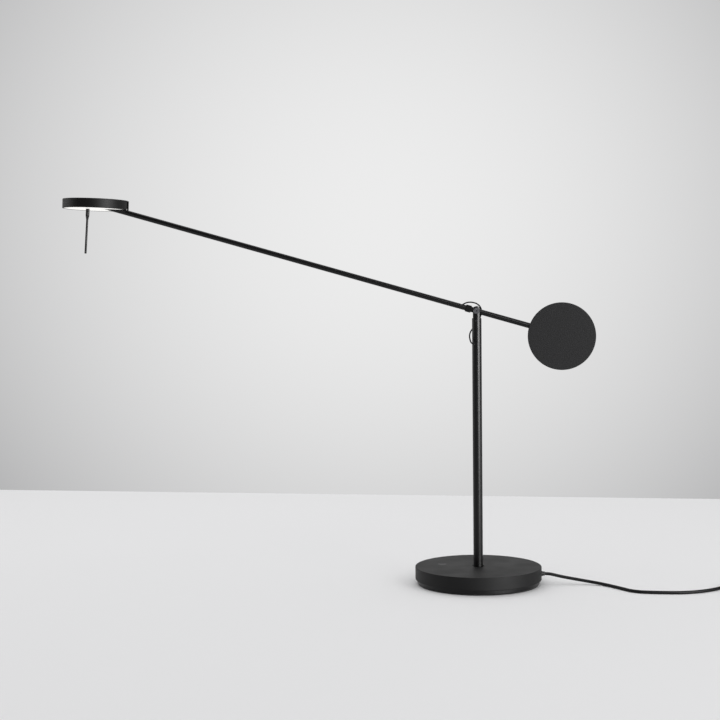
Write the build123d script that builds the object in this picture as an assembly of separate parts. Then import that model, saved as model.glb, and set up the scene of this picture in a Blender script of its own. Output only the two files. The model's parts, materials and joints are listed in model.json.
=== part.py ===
from build123d import *
import math
import os

# Counterweight balance desk lamp.
#
# A heavy round base carries an upright pole.  A fork at the pole's top holds a long
# arm on a pivot screw: a thin tube with a flat disc lamp head in front, and a short
# solid rod with a round iron counterweight behind, which balances the head.
#
# Frame: millimetres, +Z up, origin at the centre of the base's underside.
# +X points to the counterweight and the mains cord, -X to the lamp head.
# The lamp is drawn at rest: the arm slopes up to the head.

os.makedirs("parts", exist_ok=True)

# ---------------------------------------------------------------- driving dimensions
# base
base_diameter = 200.0
base_body_height = 20.0
base_skin = 6.0              # iron left above the deep pockets
base_edge = 0.8
plate_inset = 3.0            # the plate is this much smaller than the body, all round
plate_thickness = 6.0
plate_edge = 0.5
pad_thickness = 2.0
pad_inset = 1.5
pocket_length = 58.0
pocket_width = 62.0
pocket_near_end = 24.0       # from the pole's axis to the pocket's near wall
pocket_corner = 4.0
hub_pocket_radius = 36.0
hub_pocket_depth = 9.0
channel_width = 16.0
plate_screw_count = 4
plate_screw_radius = 2.0
plate_screw_head_radius = 4.0
plate_screw_length = 12.0
plate_screw_circle = 84.0
plate_screw_socket = 2.5     # across the flats
plate_relief_radius = 26.0   # hollow in the plate under the pole's foot
plate_relief_depth = 4.0

# touch dimmer
touch_at = (-58.0, 13.0)
touch_radius = 6.0
touch_dish = 0.5             # depth of the finger hollow
touch_thickness = 1.6
touch_stem_radius = 2.0
touch_ring_wall = 0.8
board_length = 36.0
board_width = 22.0
board_thickness = 1.6
board_drop = 2.4             # from the pocket's ceiling to the board
board_screw_radius = 1.25
board_screw_length = 5.0
board_screw_head_radius = 2.2
board_screw_head = 1.4
board_screw_inset = 3.0      # from the board's edges
board_post_radius = 2.6
touch_chip = (6.0, 6.0, 1.4)
touch_terminal = (9.0, 7.0, 4.5)

# driver and inner leads
driver_size = (46.0, 26.0, 10.5)
driver_at = (-54.0, -17.0)
driver_corner = 2.0
mains_port_aside = -3.0      # the mains cord's place on the driver's end
lamp_port_aside = 9.0        # the lamp cable's place there
lead_radius = 1.1
lead_under_pole = 1.6        # the lamp cable dips this far into the plate's hollow
mains_lead_turns = ((21.0, -20.0), (2.0, -28.0), (-12.0, -26.0))   # round the pole's nut

# pole and its bearing in the base
pole_diameter = 15.0
pole_wall = 1.5
pole_bottom_gap = 2.0        # from the plate's top to the pole's lower end
bush_wall = 2.2
bush_recess = 2.0            # the dark ring round the pole is this deep
bush_flange_width = 3.2
bush_flange_thickness = 2.0
washer_thickness = 1.0
stop_tab_reach = 4.2
stop_tab_width = 5.0
stop_pin_radius = 1.5
stop_pin_length = 8.0
stop_pin_seat = 4.0          # how far the pin goes into the base
stop_pin_gap = 1.2
nut_thickness = 3.5
nut_wall = 4.5
nut_slot_radius = 1.5
nut_slot_count = 4
clip_thickness = 1.2
clip_groove = 0.5
clip_wall = 1.8
clip_opening = 5.0

# pole head: fork and pivot
pivot_height = 433.2
slot_width = 9.2
slot_depth = 11.0            # pivot axis to the slot's floor
fork_floor = 1.6
fork_spigot = 21.0
slot_relief = 1.2            # slope at the slot's two lower edges, which clears the arm
pivot_screw_radius = 2.5
pivot_head_radius = 4.75
pivot_head_height = 2.4
pivot_socket = 3.0           # across the flats
pivot_nut_flats = 8.0
pivot_nut_height = 3.8
spot_face_depth = 0.9
friction_washer = 0.5
grub_drop = 15.4             # pivot axis to the fork's grub screw
grub_radius = 1.5
grub_length = 3.4
grub_inset = 0.2
cable_hole_drop = 51.7       # pivot axis to the cable's hole in the pole
cable_hole_turn = 40.0       # degrees from the pole's front towards the head
grommet_radius = 2.1
grommet_flange = 0.6
lead_rise = 52.0             # the pole's lead leaves the middle this far below the hole
lead_side_run = 22.0
lead_aside = 3.0
cable_straight = 4.2         # the loop's straight start, outside the pole

# arm
arm_diameter = 8.5
arm_bore = 6.0
arm_front = 640.0            # pivot to the head's hinge
arm_rear = 139.0             # pivot to the counterweight's centre
arm_tilt = 16.2              # degrees above level, at rest
knuckle_eye_radius = 5.6
knuckle_block_start = 9.0
knuckle_block_length = 9.0
knuckle_block_height = 11.2
knuckle_edge = 0.8
spigot_length = 14.0
stud_radius = 2.5
stud_length = 10.0
rear_neck = 6.0
cable_slot_start = 21.5
cable_slot_length = 6.5
cable_slot_width = 2.8
lead_start = 34.0            # pivot to the start of the straight lead in the tube
lead_exit = 33.5             # head hinge to the lead's hole in the tube
lead_bend = 5.5              # the lead's last straight length before that hole
tongue_length = 13.0
arm_grub_radius = 1.5
arm_grub_bite = 0.6          # how far a grub screw goes into what it locks
cable_entry = ((5.15, 8.2), (1.15, 3.6))   # from the slot's middle to the loop's last bends
cable_lead_in = 5.6          # straight length in the tube at the loop's end

# counterweight
weight_diameter = 106.0
weight_thickness = 15.0
weight_edge = 0.7
weight_drop = 2.0            # its middle hangs this far below the rod's axis
weight_bore_depth = 24.0
weight_grub_radius = 2.5
weight_grub_length = 3.0
weight_grub_from_end = 11.0  # from the rod's end
rod_flat_depth = 0.6
rod_flat_length = 10.0

# head
head_diameter = 106.0
head_thickness = 15.0
head_pitch = 2.3             # degrees, the counterweight side is this much lower
head_skin = 1.5
head_wall = 2.2
head_edge = 0.6
hinge_above_middle = 1.0
hinge_pin_radius = 1.5
arm_side_gap = 0.5
arm_slot_top = 4.7           # hinge axis to the top of the slot in the rim
slot_cheek = 6.6             # length of the two black cheeks beside the slot
bracket_cheek = 4.5
bracket_front = 7.0
bracket_rear = 17.5
bracket_depth = 5.5          # hinge axis to the bracket's underside
bracket_corner = 1.5
bracket_screw_back = 3.4     # from the arm's channel to the screws
bracket_pad = 2.3
bracket_screw_radius = 1.25
bracket_screw_side = 5.6
bracket_screw_head = 1.4
bracket_screw_head_radius = 2.2
led_board_thickness = 1.6
led_size = (3.5, 2.8, 0.8)
led_ring_radii = (24.0, 40.0)
led_ring_counts = (8, 14)
tray_floor = 1.2
tray_wall = 1.2
tray_window = 5.0
lead_notch = 20.0            # hinge to the lead's way through the tray's wall
diffuser_thickness = 2.0
diffuser_recess = 0.4
stem_offset = 13.0
stem_length = 72.0           # below the head's underside
stem_lean = 1.7              # degrees
stem_collar_radius = 3.0
stem_collar_length = 10.5
stem_taper_length = 6.5
stem_radius = 1.75
stem_thread_radius = 1.5

# mains cord
cord_radius = 2.5
cord_exit_height = 16.8
gland_nose = 5.0
gland_nose_radius = 3.2
gland_neck_radius = 4.2
gland_flange_radius = 5.6
gland_flange = 2.0
gland_tail = 18.0
gland_groove = 0.5           # depth of the two flex grooves round the nose
clamp_at = 62.0
clamp_length = 8.0
clamp_width = 20.0
clamp_height = 10.0
clamp_screw_side = 7.0
clamp_screw_radius = 1.5
clamp_screw_head_radius = 2.7
clamp_screw_head = 1.6
clamp_room = 2.0             # free length at each end of the clamp
coil_radius = 27.5           # to the middle of its turns
coil_rows = 3
coil_centre = (421.5, -23.5)
plug_length = 34.0
plug_width = 26.0
plug_height = 13.0
plug_pin_radius = 2.0
plug_pin_length = 19.0
plug_pin_spacing = 18.6
plug_neck_radius = 5.0
tie_width = 6.0
tie_thickness = 0.9

# clearances
running_fit = 0.05           # radial, where one body turns in another
seat_fit = 0.02              # radial, between pieces that are fixed together
free_gap = 0.3

# ---------------------------------------------------------------- derived places
base_radius = base_diameter / 2
pole_radius = pole_diameter / 2
pole_bore = pole_radius - pole_wall
arm_radius = arm_diameter / 2
arm_bore_radius = arm_bore / 2
weight_radius = weight_diameter / 2
head_radius = head_diameter / 2

plate_bottom = pad_thickness
body_bottom = plate_bottom + plate_thickness
body_top = body_bottom + base_body_height
deep_ceiling = body_top - base_skin
hub_ceiling = body_bottom + hub_pocket_depth
bush_radius = pole_radius + bush_wall
bush_top = body_top - bush_recess
bush_bottom = hub_ceiling - bush_flange_thickness
washer_bottom = bush_bottom - washer_thickness
nut_bottom = washer_bottom - nut_thickness
pole_bottom = body_bottom + pole_bottom_gap
lead_joint = pole_bottom + 2.0
nut_radius = pole_radius + nut_wall
stop_radius = bush_radius + bush_flange_width + stop_pin_radius + stop_pin_gap

slot_floor = pivot_height - slot_depth
pole_top = slot_floor - fork_floor
spigot_bottom = pole_top - fork_spigot
grub_height = pivot_height - grub_drop
cable_hole_height = pivot_height - cable_hole_drop
spot_face = pole_radius - spot_face_depth
eye_half_width = slot_width / 2 - friction_washer

hinge_x = -arm_front * math.cos(math.radians(arm_tilt))
hinge_z = pivot_height + arm_front * math.sin(math.radians(arm_tilt))
tube_end = arm_front - tongue_length
head_bottom = -head_thickness / 2 - hinge_above_middle
head_top = head_thickness / 2 - hinge_above_middle
skin_inside = head_top - head_skin
cup_radius = head_radius - head_wall
arm_slot_half = arm_radius + arm_side_gap
hinge_half_width = slot_width / 2 - friction_washer
channel_half = hinge_half_width + friction_washer
bracket_half = channel_half + bracket_cheek
channel_end = arm_radius + 1.0
cheek_start = cup_radius - slot_cheek
led_board_bottom = skin_inside - led_board_thickness
tray_floor_bottom = led_board_bottom - tray_floor
diffuser_bottom = head_bottom + diffuser_recess
diffuser_top = diffuser_bottom + diffuser_thickness
cord_diameter = 2 * cord_radius
coil_height = coil_rows * cord_diameter
coil_half_width = coil_rows * cord_radius
gland_face = base_radius + gland_nose

# The free part of the mains cord, from the gland to the coil, chosen by hand.
cord_route = [
    (gland_face, 0, cord_exit_height),
    (112.5, 0, cord_exit_height),
    (127, 0.5, 13.0),
    (153, 0, 8.5),
    (177, -1, 4.7),
    (198, -9.5, 2.6),
    (220, -37, 2.6),
    (240, -63.5, 2.6),
    (276, -67, 2.6),
    (310, -66.5, 2.6),
    (341, -55, 2.6),
    (367, -34, 2.6),
    (384, -13, 2.6),
    (402, 1.5, 2.6),
]
# The cord's other end, from the coil to the plug.
tail_route = [
    (453, -30, 2.6),
    (452.5, -47, 2.6),
    (450, -62, 6.5),
    (450, -76, 6.5),
]
# The thin cable from beside the pole's hole, behind the pole and over the fork,
# measured from the pivot.
loop_route = [
    (-11.4, -8.0, -46.8),
    (-13.0, 1.4, -37.4),
    (-9.2, 8.0, -30.4),
    (-1.5, 10.6, -21.6),
    (6.2, 10.4, -12.2),
    (9.9, 9.2, -2.0),
    (7.4, 7.8, 6.2),
    (1.2, 5.8, 11.8),
    (-7.0, 3.2, 13.9),
    (-15.0, 1.2, 13.8),
]

UP = (Align.CENTER, Align.CENTER, Align.MIN)
BACK = (0, 1, 0)
FRONT = (0, -1, 0)


# ---------------------------------------------------------------- helpers
def bar(radius, start, direction, length):
    """A round bar from a point, along a direction."""
    return Plane(origin=start, z_dir=direction) * Cylinder(radius, length, align=UP)


def disc(radius, low, high, at=(0, 0)):
    """An upright round piece between two heights."""
    return bar(radius, (at[0], at[1], low), (0, 0, 1), high - low)


def block(x, y, z):
    """A box between pairs of coordinates."""
    centre = [(pair[0] + pair[1]) / 2 for pair in (x, y, z)]
    return Pos(*centre) * Box(x[1] - x[0], y[1] - y[0], z[1] - z[0])


def turned(points, at=(0, 0)):
    """A solid turned about an upright axis from an outline of (radius, height)."""
    outline = Plane.XZ * make_face(Polyline(*points, close=True))
    return Pos(at[0], at[1], 0) * revolve(outline, Axis.Z)


def hexagon(flats, start, direction, length):
    """A hexagonal bar."""
    outline = RegularPolygon(flats / 2, 6, major_radius=False)
    return extrude(Plane(origin=start, z_dir=direction) * outline, length)


def grub(radius, start, direction, length):
    """A grub screw that starts at its socket end, with its point at the far end."""
    body = bar(radius, start, direction, length)
    tip = body.edges().sort_by(Axis(start, direction))[-1]
    return chamfer(tip, radius / 3) - hexagon(radius, start, direction, length / 2)


def corner_radii(points):
    """Each corner's arc: 0.45 of its shorter run over the tangent of half its turn."""
    radii = []
    for before, here, after in zip(points, points[1:], points[2:]):
        first = Vector(here) - Vector(before)
        second = Vector(after) - Vector(here)
        half_turn = math.radians(first.get_angle(second)) / 2
        radii.append(0.45 * min(first.length, second.length) / math.tan(half_turn))
    return radii


def tube_along(points, radius, name):
    """A round solid along straight runs that tangent arcs join."""
    radii = corner_radii(points)
    path = FilletPolyline(*points, radius=radii)
    start = Plane(origin=points[0], z_dir=Vector(points[1]) - Vector(points[0]))
    solid = sweep(start * Circle(radius), path=path)
    wanted = math.pi * radius**2 * path.length
    listed = " ".join(f"{value:.0f}" for value in radii)
    print(f"{name}: length {path.length:.1f}, volume ratio {solid.volume / wanted:.4f}, radii {listed}")
    return solid


def on_arm(shape):
    """Places a piece drawn with the pivot at the origin and the arm along X."""
    return Pos(0, 0, pivot_height) * Rot(0, arm_tilt, 0) * shape


def on_head(shape):
    """Places a piece drawn with the head's hinge at the origin and the disc level."""
    return Pos(hinge_x, 0, hinge_z) * Rot(0, head_pitch, 0) * shape


def arm_point(x, y, z):
    """A point of the arm's own frame, in the lamp's frame."""
    turn = math.radians(arm_tilt)
    return (
        x * math.cos(turn) + z * math.sin(turn),
        y,
        pivot_height - x * math.sin(turn) + z * math.cos(turn),
    )


def around(radius, count, first=0.0):
    """Evenly spaced points on a circle."""
    turns = [first + 360 * index / count for index in range(count)]
    return [(radius * math.cos(math.radians(a)), radius * math.sin(math.radians(a))) for a in turns]


# ---------------------------------------------------------------- base
def pocket_block(low, high):
    """The deep pocket's space, with round corners."""
    far_end = -pocket_near_end - pocket_length
    space = block((far_end, -pocket_near_end), (-pocket_width / 2, pocket_width / 2), (low, high))
    return fillet(space.edges().filter_by(Axis.Z), pocket_corner)


def board_screw_places():
    """The dimmer board's two screws, near opposite corners."""
    dx = board_length / 2 - board_screw_inset
    dy = board_width / 2 - board_screw_inset
    return [(touch_at[0] - dx, touch_at[1] + dy), (touch_at[0] + dx, touch_at[1] - dy)]


def base_body():
    """The heavy cast disc, with pockets under it and a bore for the pole's bush."""
    body = disc(base_radius, body_bottom, body_top)
    body = fillet(body.edges().filter_by(GeomType.CIRCLE), base_edge)
    body -= pocket_block(body_bottom, deep_ceiling)
    body -= disc(hub_pocket_radius, body_bottom, hub_ceiling)
    half = channel_width / 2
    channel_top = cord_exit_height + gland_flange_radius + free_gap
    inside_wall = base_radius - gland_tail / 2
    body -= block((hub_pocket_radius / 2, inside_wall), (-half, half), (body_bottom, channel_top))
    clamp_space = clamp_length / 2 + clamp_room
    body -= block(
        (clamp_at - clamp_space, clamp_at + clamp_space),
        (-clamp_width / 2 - 1, clamp_width / 2 + 1),
        (body_bottom, channel_top),
    )
    body -= disc(bush_radius, hub_ceiling, body_top)
    body -= bar(gland_neck_radius, (0, 0, cord_exit_height), (1, 0, 0), base_radius + 1)
    body += board_posts()
    ring = touch_radius + touch_ring_wall
    body -= disc(ring, body_top - touch_thickness - touch_ring_wall, body_top, touch_at)
    body -= disc(touch_stem_radius + 1, deep_ceiling, body_top, touch_at)
    for place in around(plate_screw_circle, plate_screw_count, 45):
        body -= disc(plate_screw_radius, body_bottom, plate_bottom + plate_screw_length + 1, place)
    for place in board_screw_places():
        body -= disc(board_screw_radius, deep_ceiling - board_drop, deep_ceiling + 3, place)
    for side in (-clamp_screw_side, clamp_screw_side):
        body -= disc(clamp_screw_radius, channel_top, body_top - 2, (clamp_at, side))
    body -= disc(stop_pin_radius, hub_ceiling, hub_ceiling + stop_pin_seat, (0, stop_radius))
    return body


def board_posts():
    """Two short posts that hold the dimmer board below the pocket's ceiling."""
    posts = [
        disc(board_post_radius, deep_ceiling - board_drop, deep_ceiling + 0.5, place)
        for place in board_screw_places()
    ]
    return posts[0] + posts[1]


def base_plate():
    """The steel cover plate, set back from the body's edge."""
    plate = disc(base_radius - plate_inset, plate_bottom, body_bottom)
    plate = chamfer(plate.edges().filter_by(GeomType.CIRCLE), plate_edge)
    plate -= disc(plate_relief_radius, body_bottom - plate_relief_depth, body_bottom)
    for place in around(plate_screw_circle, plate_screw_count, 45):
        plate -= disc(plate_screw_radius + 0.25, plate_bottom, body_bottom, place)
        plate -= turned(screw_cone(plate_bottom, seat_fit), place)
    return plate


def screw_cone(bottom, extra):
    """Outline of a countersunk head."""
    top = bottom + plate_screw_head_radius - plate_screw_radius
    return [
        (0, bottom),
        (plate_screw_head_radius + extra, bottom),
        (plate_screw_radius + extra, top),
        (0, top),
    ]


def plate_screws():
    """Countersunk screws, drawn without threads."""
    screws = []
    for place in around(plate_screw_circle, plate_screw_count, 45):
        shank = disc(plate_screw_radius - seat_fit, plate_bottom, plate_bottom + plate_screw_length, place)
        screw = shank + turned(screw_cone(plate_bottom, -seat_fit), place)
        socket = hexagon(plate_screw_socket, (*place, plate_bottom), (0, 0, 1), plate_screw_radius)
        screws.append(screw - socket)
    return Compound(children=screws)


def foot_pad():
    """The felt pad that the lamp stands on."""
    return disc(base_radius - plate_inset - pad_inset, 0, plate_bottom)


# ---------------------------------------------------------------- touch dimmer and driver
def touch_disc():
    """The flush finger plate, slightly dished, with a stem down to the board."""
    x, y = touch_at
    plate = disc(touch_radius, body_top - touch_thickness, body_top, touch_at)
    sphere_radius = (touch_radius**2 + touch_dish**2) / (2 * touch_dish)
    plate -= Pos(x, y, body_top - touch_dish + sphere_radius) * Sphere(sphere_radius)
    board_top = deep_ceiling - board_drop
    return plate + disc(touch_stem_radius, board_top, body_top - touch_thickness, touch_at)


def touch_ring():
    """The insulating cup that keeps the finger plate off the base."""
    outer = touch_radius + touch_ring_wall - seat_fit
    inner = touch_radius + seat_fit
    floor = body_top - touch_thickness
    return turned(
        [
            (touch_stem_radius + seat_fit, floor - touch_ring_wall),
            (outer, floor - touch_ring_wall),
            (outer, body_top),
            (inner, body_top),
            (inner, floor),
            (touch_stem_radius + seat_fit, floor),
        ],
        touch_at,
    )


def dimmer_board():
    """The touch circuit under the finger plate, with its chip and terminal."""
    top = deep_ceiling - board_drop
    x, y = touch_at
    bottom = top - board_thickness
    half_length = board_length / 2
    half_width = board_width / 2
    board = block((x - half_length, x + half_length), (y - half_width, y + half_width), (bottom, top))
    board += Pos(x - 7, y, bottom - touch_chip[2] / 2) * Box(*touch_chip)
    board += Pos(x + 8.5, y + 4.5, bottom - touch_terminal[2] / 2) * Box(*touch_terminal)
    for place in board_screw_places():
        board -= disc(board_screw_radius + 0.15, bottom, top, place)
    return board


def board_screws():
    """Two pan-head screws that hold the board."""
    bottom = deep_ceiling - board_drop - board_thickness
    screws = []
    for place in board_screw_places():
        head = disc(board_screw_head_radius, bottom - board_screw_head, bottom, place)
        screws.append(head + disc(board_screw_radius - seat_fit, bottom, bottom + board_screw_length, place))
    return Compound(children=screws)


def driver_module():
    """The potted power supply, held to the pocket's ceiling."""
    length, width, height = driver_size
    x, y = driver_at
    case = block((x - length / 2, x + length / 2), (y - width / 2, y + width / 2),
                 (deep_ceiling - height, deep_ceiling))
    return fillet(case.edges().filter_by(Axis.Z), driver_corner)


def driver_port(aside):
    """The place on the driver's face where a lead enters, and a place straight in front."""
    x = driver_at[0] + driver_size[0] / 2
    y = driver_at[1] + aside
    z = deep_ceiling - driver_size[2] + cord_radius + 0.5
    return (x, y, z), (x + 3 * cord_radius, y, z)


def mains_lead():
    """The mains cord inside the base, from the gland's face to the driver."""
    low = hub_ceiling - cord_radius - 2.2
    port, before_port = driver_port(mains_port_aside)
    route = [
        (gland_face, 0, cord_exit_height),
        (clamp_at - 16, 0, cord_exit_height),
        (33, -4, low + 0.8),
        *[(x, y, low) for x, y in mains_lead_turns],
        before_port,
        port,
    ]
    return tube_along(route, cord_radius, "mains_lead")


def base_lead():
    """The thin lamp cable from the driver to the middle of the pole's foot."""
    port, before_port = driver_port(lamp_port_aside)
    under_pole = body_bottom - lead_under_pole
    route = [
        port,
        before_port,
        (-13, -3, under_pole),
        (0, 0, under_pole),
        (0, 0, lead_joint),
    ]
    return tube_along(route, lead_radius, "base_lead")


# ---------------------------------------------------------------- mains cord
def cord_gland():
    """The rubber strain relief in the base's wall."""
    z = cord_exit_height
    neck_start = base_radius - gland_tail / 2
    points = [
        (gland_face, gland_nose_radius),
        (base_radius, gland_neck_radius - seat_fit),
        (neck_start, gland_neck_radius - seat_fit),
        (neck_start, gland_flange_radius),
        (neck_start - gland_flange, gland_flange_radius),
        (neck_start - gland_flange, gland_neck_radius - seat_fit),
        (base_radius - gland_tail, gland_nose_radius),
    ]
    bore = cord_radius + seat_fit
    outline = points + [(base_radius - gland_tail, bore), (gland_face, bore)]
    gland = revolve(make_face(Polyline(*outline, close=True)), Axis.X)
    for share in (1 / 3, 2 / 3):
        start = (base_radius + gland_nose * share, 0, 0)
        ring = bar(gland_neck_radius, start, (1, 0, 0), gland_groove)
        gland -= ring - bar(gland_nose_radius - gland_groove / 2, start, (1, 0, 0), gland_groove)
    return Pos(0, 0, z) * gland


def cord_clamp():
    """The saddle that grips the cord inside the base."""
    top = cord_exit_height + gland_flange_radius + free_gap
    half = clamp_length / 2
    saddle = block((clamp_at - half, clamp_at + half), (-clamp_width / 2, clamp_width / 2),
                   (top - clamp_height, top))
    slot = cord_radius + seat_fit
    saddle -= block((clamp_at - half, clamp_at + half), (-slot, slot), (cord_exit_height, top))
    saddle -= bar(slot, (clamp_at - half, 0, cord_exit_height), (1, 0, 0), clamp_length)
    for side in (-clamp_screw_side, clamp_screw_side):
        saddle -= disc(clamp_screw_radius, top - clamp_height, top, (clamp_at, side))
    return saddle


def clamp_screws():
    """Two screws that pull the saddle up to the base."""
    top = cord_exit_height + gland_flange_radius + free_gap
    bottom = top - clamp_height
    screws = []
    for side in (-clamp_screw_side, clamp_screw_side):
        place = (clamp_at, side)
        head = disc(clamp_screw_head_radius, bottom - clamp_screw_head, bottom, place)
        screws.append(head + disc(clamp_screw_radius - seat_fit, bottom, body_top - 3, place))
    return Compound(children=screws)


def power_cord():
    """The free cord, from the gland to the coil."""
    return tube_along(cord_route, cord_radius, "power_cord")


def power_cord_tail():
    """The free cord's other end, from the coil to the plug."""
    return tube_along(tail_route, cord_radius, "power_cord_tail")


def power_cord_coil():
    """The outer shape of the wound-up length."""
    ring = disc(coil_radius + coil_half_width, 0, coil_height, coil_centre)
    ring -= disc(coil_radius - coil_half_width, 0, coil_height, coil_centre)
    ring = fillet(ring.edges().filter_by(GeomType.CIRCLE), cord_radius * 0.9)
    return ring - coil_tie()


def coil_tie():
    """The strap round one side of the coil."""
    x, y = coil_centre
    inner = coil_radius - coil_half_width
    outer = coil_radius + coil_half_width
    t = tie_thickness
    half = tie_width / 2
    strap = block((x - half, x + half), (y + inner - t, y + outer + t), (0, coil_height + t))
    strap = fillet(strap.edges().filter_by(Axis.X), cord_radius * 0.6)
    return strap - block((x - half, x + half), (y + inner, y + outer), (t, coil_height))


def plug_body():
    """The flat two-pin plug's moulded body, lying beside the coil."""
    start = Vector(tail_route[-1])
    heading = Vector(0, -1, 0)
    flat = Plane(origin=start, x_dir=(1, 0, 0), z_dir=heading)
    neck = flat * Circle(plug_neck_radius)
    middle = flat.offset(plug_length * 0.45) * Ellipse(plug_width / 2, plug_height / 2)
    end = flat.offset(plug_length) * Ellipse(plug_width / 2, plug_height / 2)
    return loft([neck, middle, end])


def plug_pins():
    """The plug's two round pins."""
    x, y, z = tail_route[-1]
    pins = []
    for side in (-plug_pin_spacing / 2, plug_pin_spacing / 2):
        pin = bar(plug_pin_radius, (x + side, y - plug_length, z), FRONT, plug_pin_length)
        tip = pin.edges().sort_by(Axis.Y)[0]
        pins.append(fillet(tip, plug_pin_radius * 0.8))
    return Compound(children=pins)


# ---------------------------------------------------------------- pole
def swivel_bush():
    """The flanged bearing in the base's bore."""
    bore = pole_radius + running_fit
    outer = bush_radius - seat_fit
    flange = bush_radius + bush_flange_width
    return turned([
        (bore, bush_bottom),
        (flange, bush_bottom),
        (flange, hub_ceiling),
        (outer, hub_ceiling),
        (outer, bush_top),
        (bore, bush_top),
    ])


def stop_washer():
    """The washer that turns with the pole; its tab meets the stop pin at the limits."""
    outer = bush_radius + bush_flange_width - 0.5
    washer = disc(outer, washer_bottom, bush_bottom)
    washer += block(
        (-stop_tab_width / 2, stop_tab_width / 2),
        (-outer - stop_tab_reach, -outer / 2),
        (washer_bottom, bush_bottom),
    )
    return washer - disc(pole_radius + seat_fit, washer_bottom, bush_bottom)


def stop_pin():
    """The pin under the base's hub that the washer's tab meets."""
    top = hub_ceiling + stop_pin_seat
    return disc(stop_pin_radius - seat_fit, top - stop_pin_length, top, (0, stop_radius))


def pole_nut():
    """The ring nut that holds the pole down, with four spanner slots."""
    nut = disc(nut_radius, nut_bottom, washer_bottom)
    for place in around(nut_radius, nut_slot_count, 45):
        nut -= disc(nut_slot_radius, nut_bottom, washer_bottom, place)
    return nut - disc(pole_radius + seat_fit, nut_bottom, washer_bottom)


def pole_clip():
    """The open retaining ring in the pole's groove, which rests on the bush."""
    inner = pole_radius - clip_groove + seat_fit
    ring = disc(pole_radius + clip_wall, bush_top, bush_top + clip_thickness)
    ring -= disc(inner, bush_top, bush_top + clip_thickness)
    half = clip_opening / 2
    return ring - block((0, 2 * pole_radius), (-half, half), (bush_top, bush_top + clip_thickness))


def hole_direction():
    """The outward direction of the cable's hole in the pole."""
    turn = math.radians(cable_hole_turn)
    return Vector(-math.sin(turn), -math.cos(turn), 0)


def hole_point(distance):
    """A point on the line out through the cable's hole, at a distance from the pole's axis."""
    return tuple(Vector(0, 0, cable_hole_height) + hole_direction() * distance)


def loop_start():
    """Where the cable comes out of the eyelet."""
    return hole_point(pole_radius + grommet_flange + free_gap)


def pole_tube():
    """The upright steel tube."""
    tube = disc(pole_radius, pole_bottom, pole_top) - disc(pole_bore, pole_bottom, pole_top)
    groove = disc(pole_radius + 1, bush_top, bush_top + clip_thickness)
    groove -= disc(pole_radius - clip_groove, bush_top, bush_top + clip_thickness)
    tube -= groove
    tube -= bar(grommet_radius, (0, 0, cable_hole_height), hole_direction(), pole_diameter)
    tube -= bar(grub_radius + 0.1, (0, 0, grub_height), FRONT, pole_diameter)
    return tube


def pole_fork():
    """The turned top of the pole: a spigot, a floor and two cheeks with a round top."""
    fork = disc(pole_bore - seat_fit, spigot_bottom, pole_top)
    head = disc(pole_radius, pole_top, pivot_height + pole_radius)
    side_outline = block((-pole_radius, pole_radius), (-pole_radius, pole_radius), (pole_top, pivot_height))
    side_outline += bar(pole_radius, (0, -pole_radius, pivot_height), BACK, pole_diameter)
    fork += head & side_outline
    fork -= block(
        (-pole_radius, pole_radius),
        (-slot_width / 2, slot_width / 2),
        (slot_floor, pivot_height + pole_diameter),
    )
    for side in (-pole_radius, pole_radius):
        slope = Pos(side, 0, slot_floor) * Rot(0, 45, 0)
        fork -= slope * Box(math.sqrt(2) * slot_relief, slot_width, math.sqrt(2) * slot_relief)
    fork -= bar(pivot_screw_radius + seat_fit, (0, -pole_radius, pivot_height), BACK, pole_diameter)
    fork -= bar(pivot_head_radius + free_gap, (0, -spot_face, pivot_height), FRONT, pole_radius)
    nut_space = pivot_nut_flats / math.sqrt(3) + free_gap
    fork -= bar(nut_space, (0, spot_face, pivot_height), BACK, pole_radius)
    fork -= bar(grub_radius, (0, -pole_radius + grub_length, grub_height), FRONT, pole_diameter)
    return fork


def fork_grub():
    """The grub screw through the pole's wall that locks the fork."""
    start = (0, -pole_radius + grub_inset, grub_height)
    return grub(grub_radius - seat_fit, start, BACK, grub_length - grub_inset - 0.1)


def pivot_screw():
    """The shoulder screw that the arm turns on, with a hexagon socket in its head."""
    head_face = -spot_face - pivot_head_height
    head = bar(pivot_head_radius, (0, head_face, pivot_height), BACK, pivot_head_height)
    rim = head.edges().filter_by(GeomType.CIRCLE).sort_by(Axis.Y)[0]
    head = chamfer(rim, 0.5)
    length = 2 * spot_face + pivot_nut_height + 0.8
    screw = head + bar(pivot_screw_radius, (0, -spot_face, pivot_height), BACK, length)
    return screw - hexagon(pivot_socket, (0, head_face, pivot_height), BACK, pivot_head_height * 0.8)


def pivot_nut():
    """The nut behind the fork."""
    nut = hexagon(pivot_nut_flats, (0, spot_face, pivot_height), BACK, pivot_nut_height)
    return nut - bar(pivot_screw_radius + seat_fit, (0, 0, pivot_height), BACK, pole_diameter * 2)


def pivot_washers():
    """The two friction washers between the fork's cheeks and the arm's eye."""
    rings = []
    for start in (-slot_width / 2, eye_half_width):
        ring = bar(knuckle_eye_radius - 0.4, (0, start, pivot_height), BACK, friction_washer)
        rings.append(ring - bar(pivot_screw_radius + seat_fit, (0, start, pivot_height), BACK, 1))
    return Compound(children=rings)


def pole_grommet():
    """The rubber eyelet in the cable's hole."""
    out = hole_direction()
    centre = Vector(0, 0, cable_hole_height)
    inner_face = centre + out * (pole_bore + 0.2)
    sleeve = bar(grommet_radius - seat_fit, inner_face, out, pole_wall - 0.2)
    sleeve += bar(grommet_radius + grommet_flange, centre + out * pole_radius, out, grommet_flange)
    return sleeve - bar(lead_radius + seat_fit, centre, out, pole_diameter)


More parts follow.
